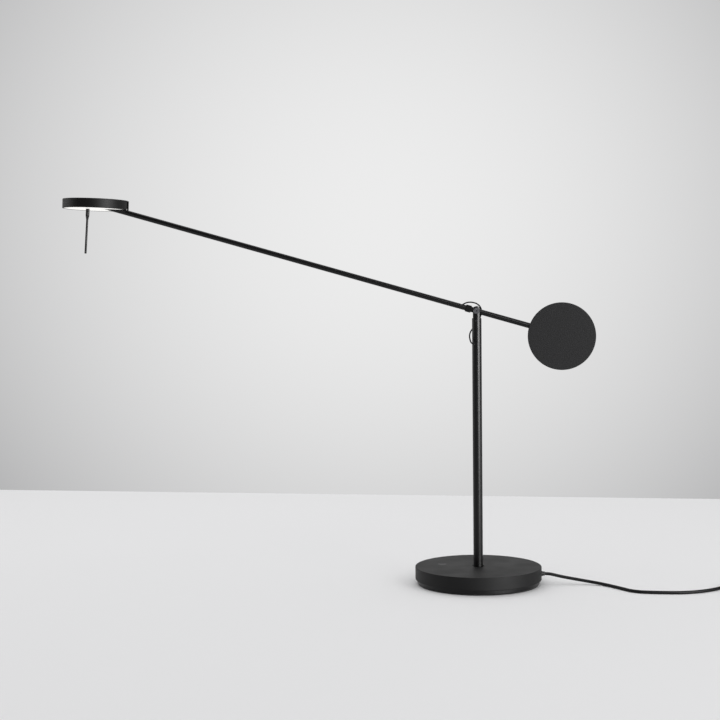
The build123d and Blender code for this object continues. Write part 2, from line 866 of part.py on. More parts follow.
def pole_lead():
    """The thin cable inside the pole, from its foot to the eyelet's face."""
    aside = hole_point(-lead_aside)
    route = [
        (0, 0, lead_joint),
        (0, 0, cable_hole_height - lead_rise),
        (aside[0], aside[1], cable_hole_height - lead_side_run),
        aside,
        loop_start(),
    ]
    return tube_along(route, lead_radius, "pole_lead")


# ---------------------------------------------------------------- loop cable
def loop_cable():
    """The bare stretch of cable that gives the arm room to tilt."""
    slot_middle = -cable_slot_start - cable_slot_length / 2
    lead_in = -lead_start + cable_lead_in
    into_arm = [
        arm_point(slot_middle + cable_entry[0][0], 0.2, cable_entry[0][1]),
        arm_point(slot_middle + cable_entry[1][0], 0, cable_entry[1][1]),
        arm_point(lead_in, 0, 0),
        arm_point(-lead_start, 0, 0),
    ]
    first = [loop_start(), hole_point(pole_radius + cable_straight)]
    loose = [(x, y, pivot_height + z) for x, y, z in loop_route]
    return tube_along(first + loose + into_arm, lead_radius, "loop_cable")


# ---------------------------------------------------------------- arm
def arm_knuckle():
    """The pivot eye with its shoulder block, front spigot and rear stud."""
    half = eye_half_width
    start = knuckle_block_start
    end = start + knuckle_block_length
    knuckle = block((-end, -start), (-half, half), (-knuckle_block_height / 2, knuckle_block_height / 2))
    knuckle = fillet(knuckle.edges(), knuckle_edge)
    neck = arm_radius - 0.15
    knuckle += block((-start - 2, 0), (-half, half), (-neck, neck))
    knuckle += bar(knuckle_eye_radius, (0, -half, 0), BACK, 2 * half)
    knuckle += bar(half, (0, 0, 0), (1, 0, 0), rear_neck)
    knuckle += bar(stud_radius - seat_fit, (0, 0, 0), (1, 0, 0), rear_neck + stud_length)
    spigot = bar(arm_bore_radius - seat_fit, (-end - spigot_length, 0, 0), (1, 0, 0), spigot_length + 2)
    groove = cable_slot_width / 2
    spigot -= block((-end - spigot_length, -cable_slot_start), (-groove, groove), (-groove, arm_radius))
    knuckle += spigot - grub_seat(arm_grub_places()[0])
    return knuckle - bar(pivot_screw_radius + running_fit, (0, -half, 0), BACK, 2 * half)


def grub_seat(distance):
    """The hollow under a grub screw's tip, at a distance from the pivot."""
    radius = arm_grub_radius + running_fit
    return bar(radius, (-distance, 0, -arm_bore_radius), (0, 0, 1), arm_grub_bite + running_fit)


def front_arm():
    """The long tube from the knuckle to the head."""
    start = knuckle_block_start + knuckle_block_length
    tube = bar(arm_radius, (-tube_end, 0, 0), (1, 0, 0), tube_end - start)
    tube -= bar(arm_bore_radius, (-tube_end, 0, 0), (1, 0, 0), tube_end - start)
    half = cable_slot_width / 2
    slot_end = cable_slot_start + cable_slot_length
    tube -= block((-slot_end + half, -cable_slot_start - half), (-half, half), (0, arm_radius))
    for centre in (cable_slot_start + half, slot_end - half):
        tube -= bar(half, (-centre, 0, 0), (0, 0, 1), arm_radius)
    exit_at = arm_front - lead_exit
    tube -= bar(lead_radius + 0.4, (-exit_at, 0, 0), (0, 0, 1), arm_radius)
    for centre in arm_grub_places():
        tube -= bar(arm_grub_radius + 0.1, (-centre, 0, 0), (0, 0, -1), arm_radius)
    return tube


def arm_grub_places():
    """Distances from the pivot to the two grub screws under the tube."""
    near = knuckle_block_start + knuckle_block_length + spigot_length * 0.75
    far = tube_end - spigot_length * 0.55
    return (near, far)


def arm_grubs():
    """The grub screws that lock the tube on the knuckle and on the head's eye."""
    start = -arm_radius + grub_inset
    length = arm_radius - grub_inset - arm_bore_radius + arm_grub_bite
    screws = [
        grub(arm_grub_radius, (-centre, 0, start), (0, 0, 1), length) for centre in arm_grub_places()
    ]
    return Compound(children=screws)


def arm_end_eye():
    """The flat-sided eye at the head's end of the tube."""
    half = hinge_half_width - 0.1
    eye = bar(arm_radius, (-arm_front, 0, 0), (1, 0, 0), tongue_length)
    eye += bar(arm_radius, (-arm_front, -half, 0), BACK, 2 * half)
    eye &= block((-arm_front - arm_radius, -tube_end), (-half, half), (-arm_radius, arm_radius))
    eye += bar(arm_bore_radius - seat_fit, (-tube_end, 0, 0), (1, 0, 0), spigot_length)
    eye -= bar(hinge_pin_radius + running_fit, (-arm_front, -half, 0), BACK, 2 * half)
    return eye - grub_seat(arm_grub_places()[1])


def arm_lead():
    """The thin cable along the tube."""
    end = arm_front - lead_exit - lead_bend
    return bar(lead_radius, (-end, 0, 0), (1, 0, 0), end - lead_start)


def rear_arm():
    """The solid rod from the knuckle into the counterweight."""
    end = arm_rear - weight_radius + weight_bore_depth
    rod = bar(arm_radius, (rear_neck, 0, 0), (1, 0, 0), end - rear_neck)
    rod -= bar(stud_radius, (rear_neck, 0, 0), (1, 0, 0), stud_length + 1)
    middle = weight_grub_x()
    half = rod_flat_length / 2
    flat = (arm_radius - rod_flat_depth, arm_radius)
    return rod - block((middle - half, middle + half), flat, (-arm_radius, arm_radius))


def counterweight():
    """The thick iron disc, bored from its rim for the rod."""
    half = weight_thickness / 2
    weight = bar(weight_radius, (arm_rear, -half, -weight_drop), BACK, weight_thickness)
    weight = fillet(weight.edges().filter_by(GeomType.CIRCLE), weight_edge)
    rim = arm_rear - weight_radius
    weight -= bar(arm_radius + seat_fit, (rim - 1, 0, 0), (1, 0, 0), weight_bore_depth + 1)
    return weight - bar(weight_grub_radius, (weight_grub_x(), 0, 0), BACK, weight_thickness)


def weight_grub_x():
    """Distance from the pivot to the counterweight's grub screw."""
    return arm_rear - weight_radius + weight_bore_depth - weight_grub_from_end


def weight_grub():
    """The grub screw in the counterweight's rear face, which bears on the rod's flat."""
    start = (weight_grub_x(), arm_radius - rod_flat_depth + weight_grub_length, 0)
    return grub(weight_grub_radius - seat_fit, start, FRONT, weight_grub_length)


# ---------------------------------------------------------------- head
def head_cup():
    """The lamp head's turned housing: a shallow cup, open below, with a slot for the arm."""
    cup = disc(head_radius, head_bottom, head_top)
    cup = fillet(cup.edges().filter_by(GeomType.CIRCLE), head_edge)
    cup -= disc(cup_radius, head_bottom, skin_inside)
    cup += block(
        (-bracket_rear, -channel_end - 0.2),
        (-bracket_half, bracket_half),
        (skin_inside - bracket_pad, skin_inside + head_skin / 2),
    )
    cup += block(
        (cheek_start, cup_radius + head_wall / 2),
        (-arm_slot_half - tray_wall, arm_slot_half + tray_wall),
        (diffuser_top + free_gap, skin_inside + head_skin / 2),
    )
    for place in bracket_screw_places():
        cup -= disc(bracket_screw_radius, skin_inside - bracket_pad, skin_inside + 0.3, place)
    half = arm_slot_half
    return cup - block((0, head_radius + 1), (-half, half), (head_bottom, arm_slot_top))


def bracket_screw_places():
    """The bracket's two screws, one each side of the stem's thread."""
    x = -channel_end - bracket_screw_back
    return [(x, -bracket_screw_side), (x, bracket_screw_side)]


def hinge_bracket():
    """The block under the skin that holds the hinge pin and the stem."""
    length = (-bracket_rear, bracket_front)
    bracket = block(length, (-bracket_half, bracket_half), (-bracket_depth, skin_inside))
    bracket = fillet(bracket.edges().filter_by(Axis.Z), bracket_corner)
    bracket -= block((-bracket_rear, -channel_end), (-bracket_half, bracket_half),
                     (skin_inside - bracket_pad, skin_inside))
    bracket -= block((-channel_end, bracket_front), (-channel_half, channel_half),
                     (-bracket_depth, arm_slot_top))
    bracket -= bar(hinge_pin_radius, (0, -bracket_half, 0), BACK, 2 * bracket_half)
    bracket -= disc(stem_thread_radius, -bracket_depth, skin_inside - bracket_pad, (-stem_offset, 0))
    for place in bracket_screw_places():
        bracket -= disc(bracket_screw_radius, -bracket_depth, skin_inside, place)
        recess = bracket_screw_head_radius + 0.1
        bracket -= disc(recess, -bracket_depth, -bracket_depth + bracket_screw_head, place)
    return bracket


def bracket_screws():
    """Two cap screws that pull the bracket up to the housing."""
    screws = []
    for place in bracket_screw_places():
        head = disc(bracket_screw_head_radius, -bracket_depth, -bracket_depth + bracket_screw_head, place)
        shank = disc(bracket_screw_radius - seat_fit, -bracket_depth, skin_inside, place)
        screws.append(head + shank)
    return Compound(children=screws)


def hinge_pin():
    """The pin that the head tilts on."""
    half = bracket_half - 0.5
    return bar(hinge_pin_radius - seat_fit, (0, -half, 0), BACK, 2 * half)


def hinge_washers():
    """Thin friction washers each side of the arm's eye."""
    rings = []
    inner = hinge_half_width - 0.1
    for start in (-channel_half, inner):
        ring = bar(arm_radius - 0.4, (0, start, 0), BACK, channel_half - inner)
        rings.append(ring - bar(hinge_pin_radius, (0, start, 0), BACK, 1))
    return Compound(children=rings)


def arm_channel(half, low, high):
    """The space kept free for the arm, from behind the hinge to the rim."""
    return block((-channel_end, head_radius), (-half, half), (low, high))


def led_board():
    """The round metal circuit board under the skin, cut out for the bracket and the arm."""
    board = disc(cup_radius - 1.5, led_board_bottom, skin_inside)
    gap = bracket_half + 0.4
    board -= block((-bracket_rear - 0.4, bracket_front + 0.4), (-gap, gap), (led_board_bottom, skin_inside))
    return board - arm_channel(arm_slot_half + tray_wall + 0.2, led_board_bottom, skin_inside)


def led_places():
    """Lamp chips on two rings, leaving out those in the arm's channel."""
    places = []
    keep_clear = arm_slot_half + tray_wall + tray_window / 2
    for radius, count in zip(led_ring_radii, led_ring_counts):
        for x, y in around(radius, count, 180 / count):
            if x < 0 or abs(y) > keep_clear:
                places.append((x, y))
    return places


def led_chips():
    """The lamp chips."""
    length, width, height = led_size
    chips = []
    for x, y in led_places():
        chips.append(Pos(x, y, led_board_bottom - height / 2) * Box(length, width, height))
    return Compound(children=chips)


def light_tray():
    """The white reflector tray: a floor with windows, an outer wall and the channel's walls."""
    outer = cup_radius - 0.2
    tray = disc(outer, diffuser_top, led_board_bottom)
    tray -= disc(outer - tray_wall, diffuser_top, tray_floor_bottom)
    inner_half = arm_slot_half
    walls = arm_channel(inner_half + tray_wall, diffuser_top, led_board_bottom) & disc(
        outer, diffuser_top, led_board_bottom
    )
    tray += walls
    gap = bracket_half + 0.2
    tray -= block((-bracket_rear - 0.2, bracket_front + 0.2), (-gap, gap), (diffuser_top, led_board_bottom))
    tray -= arm_channel(inner_half, diffuser_top, led_board_bottom)
    cheek = inner_half + tray_wall + free_gap
    tray -= block((cheek_start - free_gap, head_radius), (-cheek, cheek), (diffuser_top, led_board_bottom))
    half = tray_window / 2
    for x, y in led_places():
        tray -= block((x - half, x + half), (y - half, y + half), (tray_floor_bottom, led_board_bottom))
    notch = lead_radius + free_gap
    wall = (inner_half - 0.1, inner_half + tray_wall + free_gap)
    return tray - block((lead_notch - notch, lead_notch + notch), wall, (tray_floor_bottom, led_board_bottom))


def diffuser():
    """The opal disc that closes the head, with the arm's slot and the stem's hole."""
    pane = disc(cup_radius - 0.15, diffuser_bottom, diffuser_top)
    pane -= arm_channel(arm_slot_half, diffuser_bottom, diffuser_top)
    return pane - disc(stem_collar_radius + 0.4, diffuser_bottom, diffuser_top, (-stem_offset, 0))


def handle_stem():
    """The thin handle under the head: thread, collar, taper and rod."""
    top = -bracket_depth
    collar_end = head_bottom - stem_collar_length
    taper_end = collar_end - stem_taper_length
    tip = head_bottom - stem_length
    stem = turned([
        (0, top),
        (stem_collar_radius, top),
        (stem_collar_radius, collar_end),
        (stem_radius, taper_end),
        (stem_radius, tip + 0.5),
        (stem_radius - 0.5, tip),
        (0, tip),
    ])
    lean = Pos(-stem_offset, 0, top) * Rot(0, stem_lean, 0) * Pos(0, 0, -top)
    half = 2 * head_thickness
    flat_top = block((-half - stem_offset, half - stem_offset), (-half, half), (tip - half, top))
    stem = (lean * stem) & flat_top
    return stem + disc(stem_thread_radius - seat_fit, top - 0.5, skin_inside - bracket_pad, (-stem_offset, 0))


def seen_from_head(along, up):
    """A point of the arm in the head's frame: its distance from the hinge and its height."""
    turn = math.radians(arm_tilt - head_pitch)
    x = along * math.cos(turn) + up * math.sin(turn)
    return (x, 0, up * math.cos(turn) - along * math.sin(turn))


def head_lead():
    """The last of the thin cable, from inside the arm to the circuit board's edge."""
    level = led_board_bottom + 0.4
    edge = arm_slot_half + tray_wall + 0.2
    route = [
        seen_from_head(lead_exit + lead_bend, 0),
        seen_from_head(lead_exit, 0),
        seen_from_head(lead_exit - 0.6, 6.5),
        (27, 0.3, level - 1.0),
        (lead_notch, 0.6, level),
        (lead_notch, edge, level),
    ]
    return tube_along(route, lead_radius, "head_lead")


# ---------------------------------------------------------------- all nodes
nodes = {
    "base_body": base_body(),
    "base_plate": base_plate(),
    "plate_screws": plate_screws(),
    "foot_pad": foot_pad(),
    "touch_disc": touch_disc(),
    "touch_ring": touch_ring(),
    "dimmer_board": dimmer_board(),
    "board_screws": board_screws(),
    "driver_module": driver_module(),
    "mains_lead": mains_lead(),
    "base_lead": base_lead(),
    "cord_gland": cord_gland(),
    "cord_clamp": cord_clamp(),
    "clamp_screws": clamp_screws(),
    "power_cord": power_cord(),
    "power_cord_coil": power_cord_coil(),
    "power_cord_tail": power_cord_tail(),
    "coil_tie": coil_tie(),
    "plug_body": plug_body(),
    "plug_pins": plug_pins(),
    "swivel_bush": swivel_bush(),
    "stop_pin": stop_pin(),
    "stop_washer": stop_washer(),
    "pole_nut": pole_nut(),
    "pole_clip": pole_clip(),
    "pole_tube": pole_tube(),
    "pole_fork": pole_fork(),
    "fork_grub": fork_grub(),
    "pivot_screw": pivot_screw(),
    "pivot_nut": pivot_nut(),
    "pivot_washers": pivot_washers(),
    "pole_grommet": pole_grommet(),
    "pole_lead": pole_lead(),
    "loop_cable": loop_cable(),
    "arm_knuckle": on_arm(arm_knuckle()),
    "front_arm": on_arm(front_arm()),
    "arm_grubs": on_arm(arm_grubs()),
    "arm_end_eye": on_arm(arm_end_eye()),
    "arm_lead": on_arm(arm_lead()),
    "rear_arm": on_arm(rear_arm()),
    "counterweight": on_arm(counterweight()),
    "weight_grub": on_arm(weight_grub()),
    "head_cup": on_head(head_cup()),
    "hinge_bracket": on_head(hinge_bracket()),
    "bracket_screws": on_head(bracket_screws()),
    "hinge_pin": on_head(hinge_pin()),
    "hinge_washers": on_head(hinge_washers()),
    "led_board": on_head(led_board()),
    "led_chips": on_head(led_chips()),
    "light_tray": on_head(light_tray()),
    "diffuser": on_head(diffuser()),
    "handle_stem": on_head(handle_stem()),
    "head_lead": on_head(head_lead()),
}

for name, shape in nodes.items():
    export_step(shape, f"parts/{name}.step")
print(f"{len(nodes)} nodes")
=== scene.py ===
# %% [markdown]
# # A counterweight balance desk lamp
# A heavy round base carries an upright pole. A long thin arm tilts on the pole's top,
# with a flat disc lamp head in front and a round iron counterweight behind. The packed
# CAD model already has every rigid piece in its real size and place. This script
# gives it cords, moulded and woven trim, finishes, a studio and the photograph's camera.

# %% Load the fixed frame
import json
import math
import bmesh
import bpy
from mathutils import Matrix, Vector


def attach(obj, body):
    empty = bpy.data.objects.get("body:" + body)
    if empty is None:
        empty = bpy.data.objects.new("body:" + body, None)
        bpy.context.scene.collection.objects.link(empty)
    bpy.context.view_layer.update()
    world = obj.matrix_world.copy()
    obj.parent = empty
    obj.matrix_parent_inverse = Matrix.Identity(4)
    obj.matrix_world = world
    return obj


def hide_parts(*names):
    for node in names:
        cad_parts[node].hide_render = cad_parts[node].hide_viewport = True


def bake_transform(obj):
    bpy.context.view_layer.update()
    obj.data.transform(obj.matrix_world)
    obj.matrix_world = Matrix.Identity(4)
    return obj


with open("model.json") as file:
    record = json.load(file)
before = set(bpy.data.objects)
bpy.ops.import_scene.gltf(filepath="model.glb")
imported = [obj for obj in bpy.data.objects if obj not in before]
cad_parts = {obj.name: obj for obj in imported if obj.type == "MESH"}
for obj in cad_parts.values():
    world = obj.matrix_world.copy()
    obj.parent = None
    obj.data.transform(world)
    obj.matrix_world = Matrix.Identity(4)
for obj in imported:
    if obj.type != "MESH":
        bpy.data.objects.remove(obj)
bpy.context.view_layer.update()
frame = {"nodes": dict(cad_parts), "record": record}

# %% [markdown]
# ## The camera
# The photographer stood about 2.2 m in front of the lamp, a little above the height of
# the pole's pivot, and looked slightly down and to the left. The place and turn
# were worked out from the base's ellipse, the pole, the counterweight and the head. The
# lens is given by the same sum, in pixels of the picture. A camera looks along its own
# -Z axis, so its matrix columns are right, up and back.

# %% Camera
def view_axes(yaw, pitch, roll):
    """Right, up and forward directions of a camera, from angles in degrees."""
    yaw, pitch, roll = (math.radians(angle) for angle in (yaw, pitch, roll))
    forward = Vector((math.sin(yaw) * math.cos(pitch), math.cos(yaw) * math.cos(pitch), math.sin(pitch)))
    level = Vector((math.cos(yaw), -math.sin(yaw), 0))
    above = level.cross(forward)
    right = level * math.cos(roll) + above * math.sin(roll)
    up = above * math.cos(roll) - level * math.sin(roll)
    return right, up, forward


CAMERA_PLACE = (0.05644, -2.22724, 0.44557)
PICTURE_PIXELS = 720
FOCAL_PIXELS = 1405.28

right, up, forward = view_axes(yaw=-6.2134, pitch=-2.2748, roll=-0.5483)
lens = bpy.data.cameras.new("photo_camera")
lens.sensor_width = 36.0
lens.lens = FOCAL_PIXELS / PICTURE_PIXELS * lens.sensor_width
camera = bpy.data.objects.new("photo_camera", lens)
turn = Matrix((right, up, -forward)).transposed()
camera.matrix_world = Matrix.Translation(CAMERA_PLACE) @ turn.to_4x4()
bpy.context.scene.collection.objects.link(camera)
bpy.context.scene.camera = camera
print("lens", round(lens.lens, 2), "mm")

# %% [markdown]
# ## Cords as smooth curves
# A cord is one soft line with a round section. A NURBS spline of order 3 takes a few points and draws a
# curve with no corners through the middle of each run.
# The order is set after the points, because a spline with too few points keeps order 2.
# Each point's radius is set too, because Blender adds it to the curve's own box.

# %% A cord from its points
MM = 0.001


def soft_line(name, points, radius):
    """A curve object along points in millimetres, with a round section."""
    data = bpy.data.curves.new(name, "CURVE")
    data.dimensions = "3D"
    data.bevel_depth = 1.0
    data.bevel_resolution = 3
    data.resolution_u = 6
    data.use_fill_caps = True
    spline = data.splines.new("NURBS")
    spline.points.add(len(points) - 1)
    for place, point in zip(spline.points, points):
        place.co = (point[0] * MM, point[1] * MM, point[2] * MM, 1)
        place.radius = radius * MM
    spline.order_u = 3
    spline.use_endpoint_u = True
    made = bpy.data.objects.new(name, data)
    bpy.context.scene.collection.objects.link(made)
    return made


def line_points(curve):
    """The places that a curve's own line runs through, read from its spline."""
    bare = curve.data.copy()
    bare.bevel_depth = 0
    holder = bpy.data.objects.new("line", bare)
    bpy.context.scene.collection.objects.link(holder)
    bpy.context.view_layer.update()
    mesh = bpy.data.meshes.new_from_object(holder)
    places = [vertex.co.copy() for vertex in mesh.vertices]
    bpy.data.objects.remove(holder)
    bpy.data.meshes.remove(mesh)
    return places


def line_length(places):
    """The length of a line of places."""
    return sum((b - a).length for a, b in zip(places, places[1:]))


# %% [markdown]
# ## The mains cord on the table
# The 5 mm round cord leaves the base's side, drops to the table and runs out of the
# picture in one loose curve. The photograph doesn't show its end, so the usual 1.8 m is
# kept: what is left over lies just outside the view as a neat coil, with its plug.

# %% The route to the coil
CORD = 2.5
# The middle of a cord that lies on the table, with a hair of room under it.
LYING = CORD + 0.1
cord_route = [
    (105, 0, 16.8),
    (112.5, 0, 16.8),
    (127, 0.5, 13.0),
    (153, 0, 8.5),
    (177, -1, 4.7),
    (198, -9.5, LYING),
    (220, -37, LYING),
    (240, -63.5, LYING),
    (276, -67, LYING),
    (310, -66.5, LYING),
    (341, -55, LYING),
    (367, -34, LYING),
    (384, -13, LYING),
]
print("route points", len(cord_route))

# %% [markdown]
# ## The coil
# Eight turns lie beside and on each other, three across and three high. The cord winds
# inwards on the table, climbs at the inside, winds outwards, climbs again and winds
# inwards on top. Each side step or climb happens in its own sector, ahead of the turn
# that comes next, so no two turns are in one place. The end crosses over the top.

# %% The coil's turns
COIL_CENTRE = (421.5, -23.5)
COIL_RADIUS = 32.2
COIL_ENTRY = 128.0
COIL_TRAVEL = 2930.0
POINT_EVERY = 15
# Each side step or climb takes a third of a turn. A pair gives the degrees of winding at
# which it starts, and its size in millimetres.
STEP_TURN = 120.0
SIDE_STEPS = ((300, -5), (660, -5), (1260, 5), (1620, 5), (2220, -5), (2580, -5))
CLIMBS = ((960, 5), (1920, 5))
# The strands rise a little where the strap passes under them, at the far side.
STRAP_ANGLE = 90
STRAP_LIFT = 0.9
STRAP_SPREAD = 18


def eased(travel, start):
    """From 0 to 1, softly, over one step's turn after start."""
    share = min(max((travel - start) / STEP_TURN, 0), 1)
    return share * share * (3 - 2 * share)


def coil_point(travel):
    """The cord's place after that many degrees of winding."""
    angle = COIL_ENTRY - travel
    radius = COIL_RADIUS + sum(step * eased(travel, start) for start, step in SIDE_STEPS)
    height = LYING + sum(step * eased(travel, start) for start, step in CLIMBS)
    off_strap = (angle - STRAP_ANGLE + 180) % 360 - 180
    height += STRAP_LIFT * math.exp(-((off_strap / STRAP_SPREAD) ** 2))
    turn = math.radians(angle)
    return (
        COIL_CENTRE[0] + radius * math.cos(turn),
        COIL_CENTRE[1] + radius * math.sin(turn),
        height,
    )


point_count = int(COIL_TRAVEL / POINT_EVERY) + 1
coil_points = [coil_point(POINT_EVERY * step) for step in range(point_count)]
crossing = [
    (433.6, -4.2, 14.4),
    (439.2, -5.8, 17.2),
    (445.6, -9.2, 18.2),
    (451.8, -15.0, 18.2),
    (456.4, -22.6, 17.4),
    (459.0, -31.0, 14.0),
    (458.4, -40.0, 9.8),
    (455.2, -48.5, 7.0),
    (451.2, -56.5, 6.5),
    (450.0, -65.0, 6.5),
    (450, -76, 6.5),
]
mains_cord = soft_line("mains_cord", cord_route + coil_points + crossing, CORD)
print("mains cord", round(line_length(line_points(mains_cord)), 3), "m")
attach(mains_cord, "base")
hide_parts("power_cord", "power_cord_coil", "power_cord_tail")

# %% [markdown]
# ## The bare stretches of the thin lamp cable
# A 2.2 mm cable comes out of an eyelet in the pole, loops behind the pole and over the fork, and goes
# into a slot in the arm, so that the arm can tilt. It comes out again inside the head and goes to the
# lamp's board. Each stretch is made as a curve and turned into a mesh.

# %% A thin cable as a mesh
THIN = 1.1


def thin_cable(name, points):
    """A thin cable's mesh along points, and the line that it follows."""
    curve = soft_line(name + "_curve", points, THIN)
    bpy.context.view_layer.update()
    solved = curve.evaluated_get(bpy.context.evaluated_depsgraph_get())
    mesh = bpy.data.meshes.new_from_object(solved)
    mesh.name = name
    mesh.materials.clear()
    path = line_points(curve)
    bpy.data.objects.remove(curve)
    made = bpy.data.objects.new(name, mesh)
    bpy.context.scene.collection.objects.link(made)
    for face in mesh.polygons:
        face.use_smooth = True
    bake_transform(made)
    print(name, round(line_length(path) * 1000, 1), "mm")
    return made, path


# %% The loop at the pivot
# It leaves the eyelet sideways, goes round behind the pole, over the fork and down into
# the arm's slot. Near the slot the points are evenly spaced, which keeps the bend round.
loop_points = [
    (-5.40, -6.43, 381.5),
    (-7.52, -8.96, 381.5),
    (-10.4, -8.2, 386.4),
    (-11.9, 1.2, 395.6),
    (-8.9, 8.0, 402.6),
    (-1.5, 10.6, 411.6),
    (4.6, 10.6, 421.0),
    (7.9, 9.6, 431.2),
    (6.2, 8.0, 439.4),
    (0.6, 5.9, 444.6),
    (-5.08, 3.9, 446.55),
    (-10.71, 2.2, 447.24),
    (-15.93, 0.9, 446.47),
    (-20.4, 0.12, 444.33),
    (-24.96, 0.0, 441.91),
    (-29.0, 0.0, 441.63),
    (-32.65, 0.0, 442.69),
]
pivot_loop, pivot_path = thin_cable(
    "pivot_loop_cable", loop_points
)
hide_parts("loop_cable")

# %% The last stretch, from the arm to the board in the head
# It rises out of a hole in the arm, a little short of the hinge, and bends into the head.
head_points = [
    (-577.14, 0, 600.87),
    (-582.42, 0, 602.41),
    (-581.18, 0, 608.82),
    (-587.5, 0.3, 613.47),
    (-594.45, 0.6, 614.75),
    (-594.45, 6.15, 614.75),
]
head_cable, _ = thin_cable(
    "head_cable", head_points
)
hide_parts("head_lead")

# %% [markdown]
# ## The plug and its bend sleeve
# A moulded two-pin plug has a flat oval body with finger ridges, and a ribbed sleeve that
# keeps the cord from folding at its neck. Both are rows of rings: each ring of edges is
# extruded from the one before and resized about the plug's axis, as clay is drawn out.

# %% Growing a moulded body ring by ring
PLUG_AXIS = Vector((450 * MM, 0, 6.5 * MM))
RING_POINTS = 40
NECK_RADIUS = 4.2
NECK_PLACE = -76.0


def first_ring(shape, radius, y):
    """A closed ring of edges round the plug's axis, at a place along it."""
    made = bmesh.ops.create_circle(shape, segments=RING_POINTS, radius=radius * MM)["verts"]
    bmesh.ops.rotate(shape, verts=made, matrix=Matrix.Rotation(math.radians(90), 3, "X"))
    bmesh.ops.translate(shape, verts=made, vec=PLUG_AXIS + Vector((0, y * MM, 0)))
    return [edge for edge in shape.edges if edge.verts[0] in made]


def grow(shape, ring, along, wider=1.0, higher=1.0):
    """Extrudes a ring along the axis, in millimetres, and resizes the new ring."""
    grown = bmesh.ops.extrude_edge_only(shape, edges=ring)["geom"]
    points = [part for part in grown if isinstance(part, bmesh.types.BMVert)]
    bmesh.ops.translate(shape, verts=points, vec=(0, along * MM, 0))
    bmesh.ops.scale(shape, verts=points, vec=(wider, 1, higher), space=Matrix.Translation(-PLUG_AXIS))
    return [part for part in grown if isinstance(part, bmesh.types.BMEdge)]


def close_ring(shape, ring):
    """Fills a ring of edges with one flat face."""
    bmesh.ops.contextual_create(shape, geom=ring)


# %% The plug's body: neck, shoulders, flat grip and front face
plug_shape = bmesh.new()
ring = first_ring(plug_shape, NECK_RADIUS, NECK_PLACE)
close_ring(plug_shape, ring)
# Each row grows the body by so many millimetres, then makes it wider and higher.
for along, wider, higher in (
    (-0.6, 1.1, 1.1),
    (-3.0, 1.08, 1.02),
    (-3.0, 1.35, 1.08),
    (-3.4, 1.35, 1.12),
    (-4.0, 1.18, 1.06),
    (-6.0, 1.06, 1.03),
    (-8.0, 1.02, 1.0),
    (-5.0, 1.0, 1.0),
    (-0.8, 0.96, 0.93),
):
    ring = grow(plug_shape, ring, along, wider, higher)
close_ring(plug_shape, ring)
bmesh.ops.recalc_face_normals(plug_shape, faces=plug_shape.faces)
print("plug rings", len(plug_shape.verts) // RING_POINTS)

# %% Five finger ridges across each flat side
RIDGE_SIZE = Vector((13, 1.1, 1.0)) * MM
FIRST_RIDGE = -91.5
RIDGE_PITCH = 2.6
FLAT_SIDE = 5.5
for side in (-1, 1):
    for number in range(5):
        ridge = bmesh.ops.create_cube(plug_shape, size=1)["verts"]
        bmesh.ops.scale(plug_shape, verts=ridge, vec=RIDGE_SIZE)
        along = FIRST_RIDGE - RIDGE_PITCH * number
        lift = PLUG_AXIS + Vector((0, along * MM, side * FLAT_SIDE * MM))
        bmesh.ops.translate(plug_shape, verts=ridge, vec=lift)
        edges = [edge for edge in plug_shape.edges if edge.verts[0] in ridge]
        bmesh.ops.bevel(
            plug_shape, geom=edges, offset=0.3 * MM, segments=2, profile=0.5,
            affect="EDGES", material=-1,
        )


def finished(name, shape, smooth=True):
    """Turns a bmesh into an object that sits at the origin."""
    mesh = bpy.data.meshes.new(name)
    shape.to_mesh(mesh)
    shape.free()
    made = bpy.data.objects.new(name, mesh)
    bpy.context.scene.collection.objects.link(made)
    if smooth:
        for face in mesh.polygons:
            face.use_smooth = True
        mesh.set_sharp_from_angle(angle=math.radians(35))
    print(name, len(mesh.polygons), "faces")
    return made


plug_moulding = finished("plug_moulding", plug_shape)
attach(plug_moulding, "base")
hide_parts("plug_body")

# %% The tapered sleeve, with six ribs
sleeve_shape = bmesh.new()
ring = first_ring(sleeve_shape, NECK_RADIUS, NECK_PLACE - 0.2)
close_ring(sleeve_shape, ring)
for number in range(6):
    ring = grow(sleeve_shape, ring, 1.7)
    ring = grow(sleeve_shape, ring, 0.4, 0.86, 0.86)
    ring = grow(sleeve_shape, ring, 1.1)
    ring = grow(sleeve_shape, ring, 0.4, 1.1, 1.1)
ring = grow(sleeve_shape, ring, 0.8, 0.94, 0.94)
close_ring(sleeve_shape, ring)
bmesh.ops.recalc_face_normals(sleeve_shape, faces=sleeve_shape.faces)
bend_sleeve = finished("plug_bend_sleeve", sleeve_shape)
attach(bend_sleeve, "base")

# %% [markdown]
# ## The strap round the coil
# The coil is held by a 6 mm strap of woven hook-and-loop tape, wrapped once round all
# nine strands with its end pressed down on top. A box with two open sides and rounded
# corners gives the band, and a solid wall of 0.8 mm turned inwards gives its thickness.

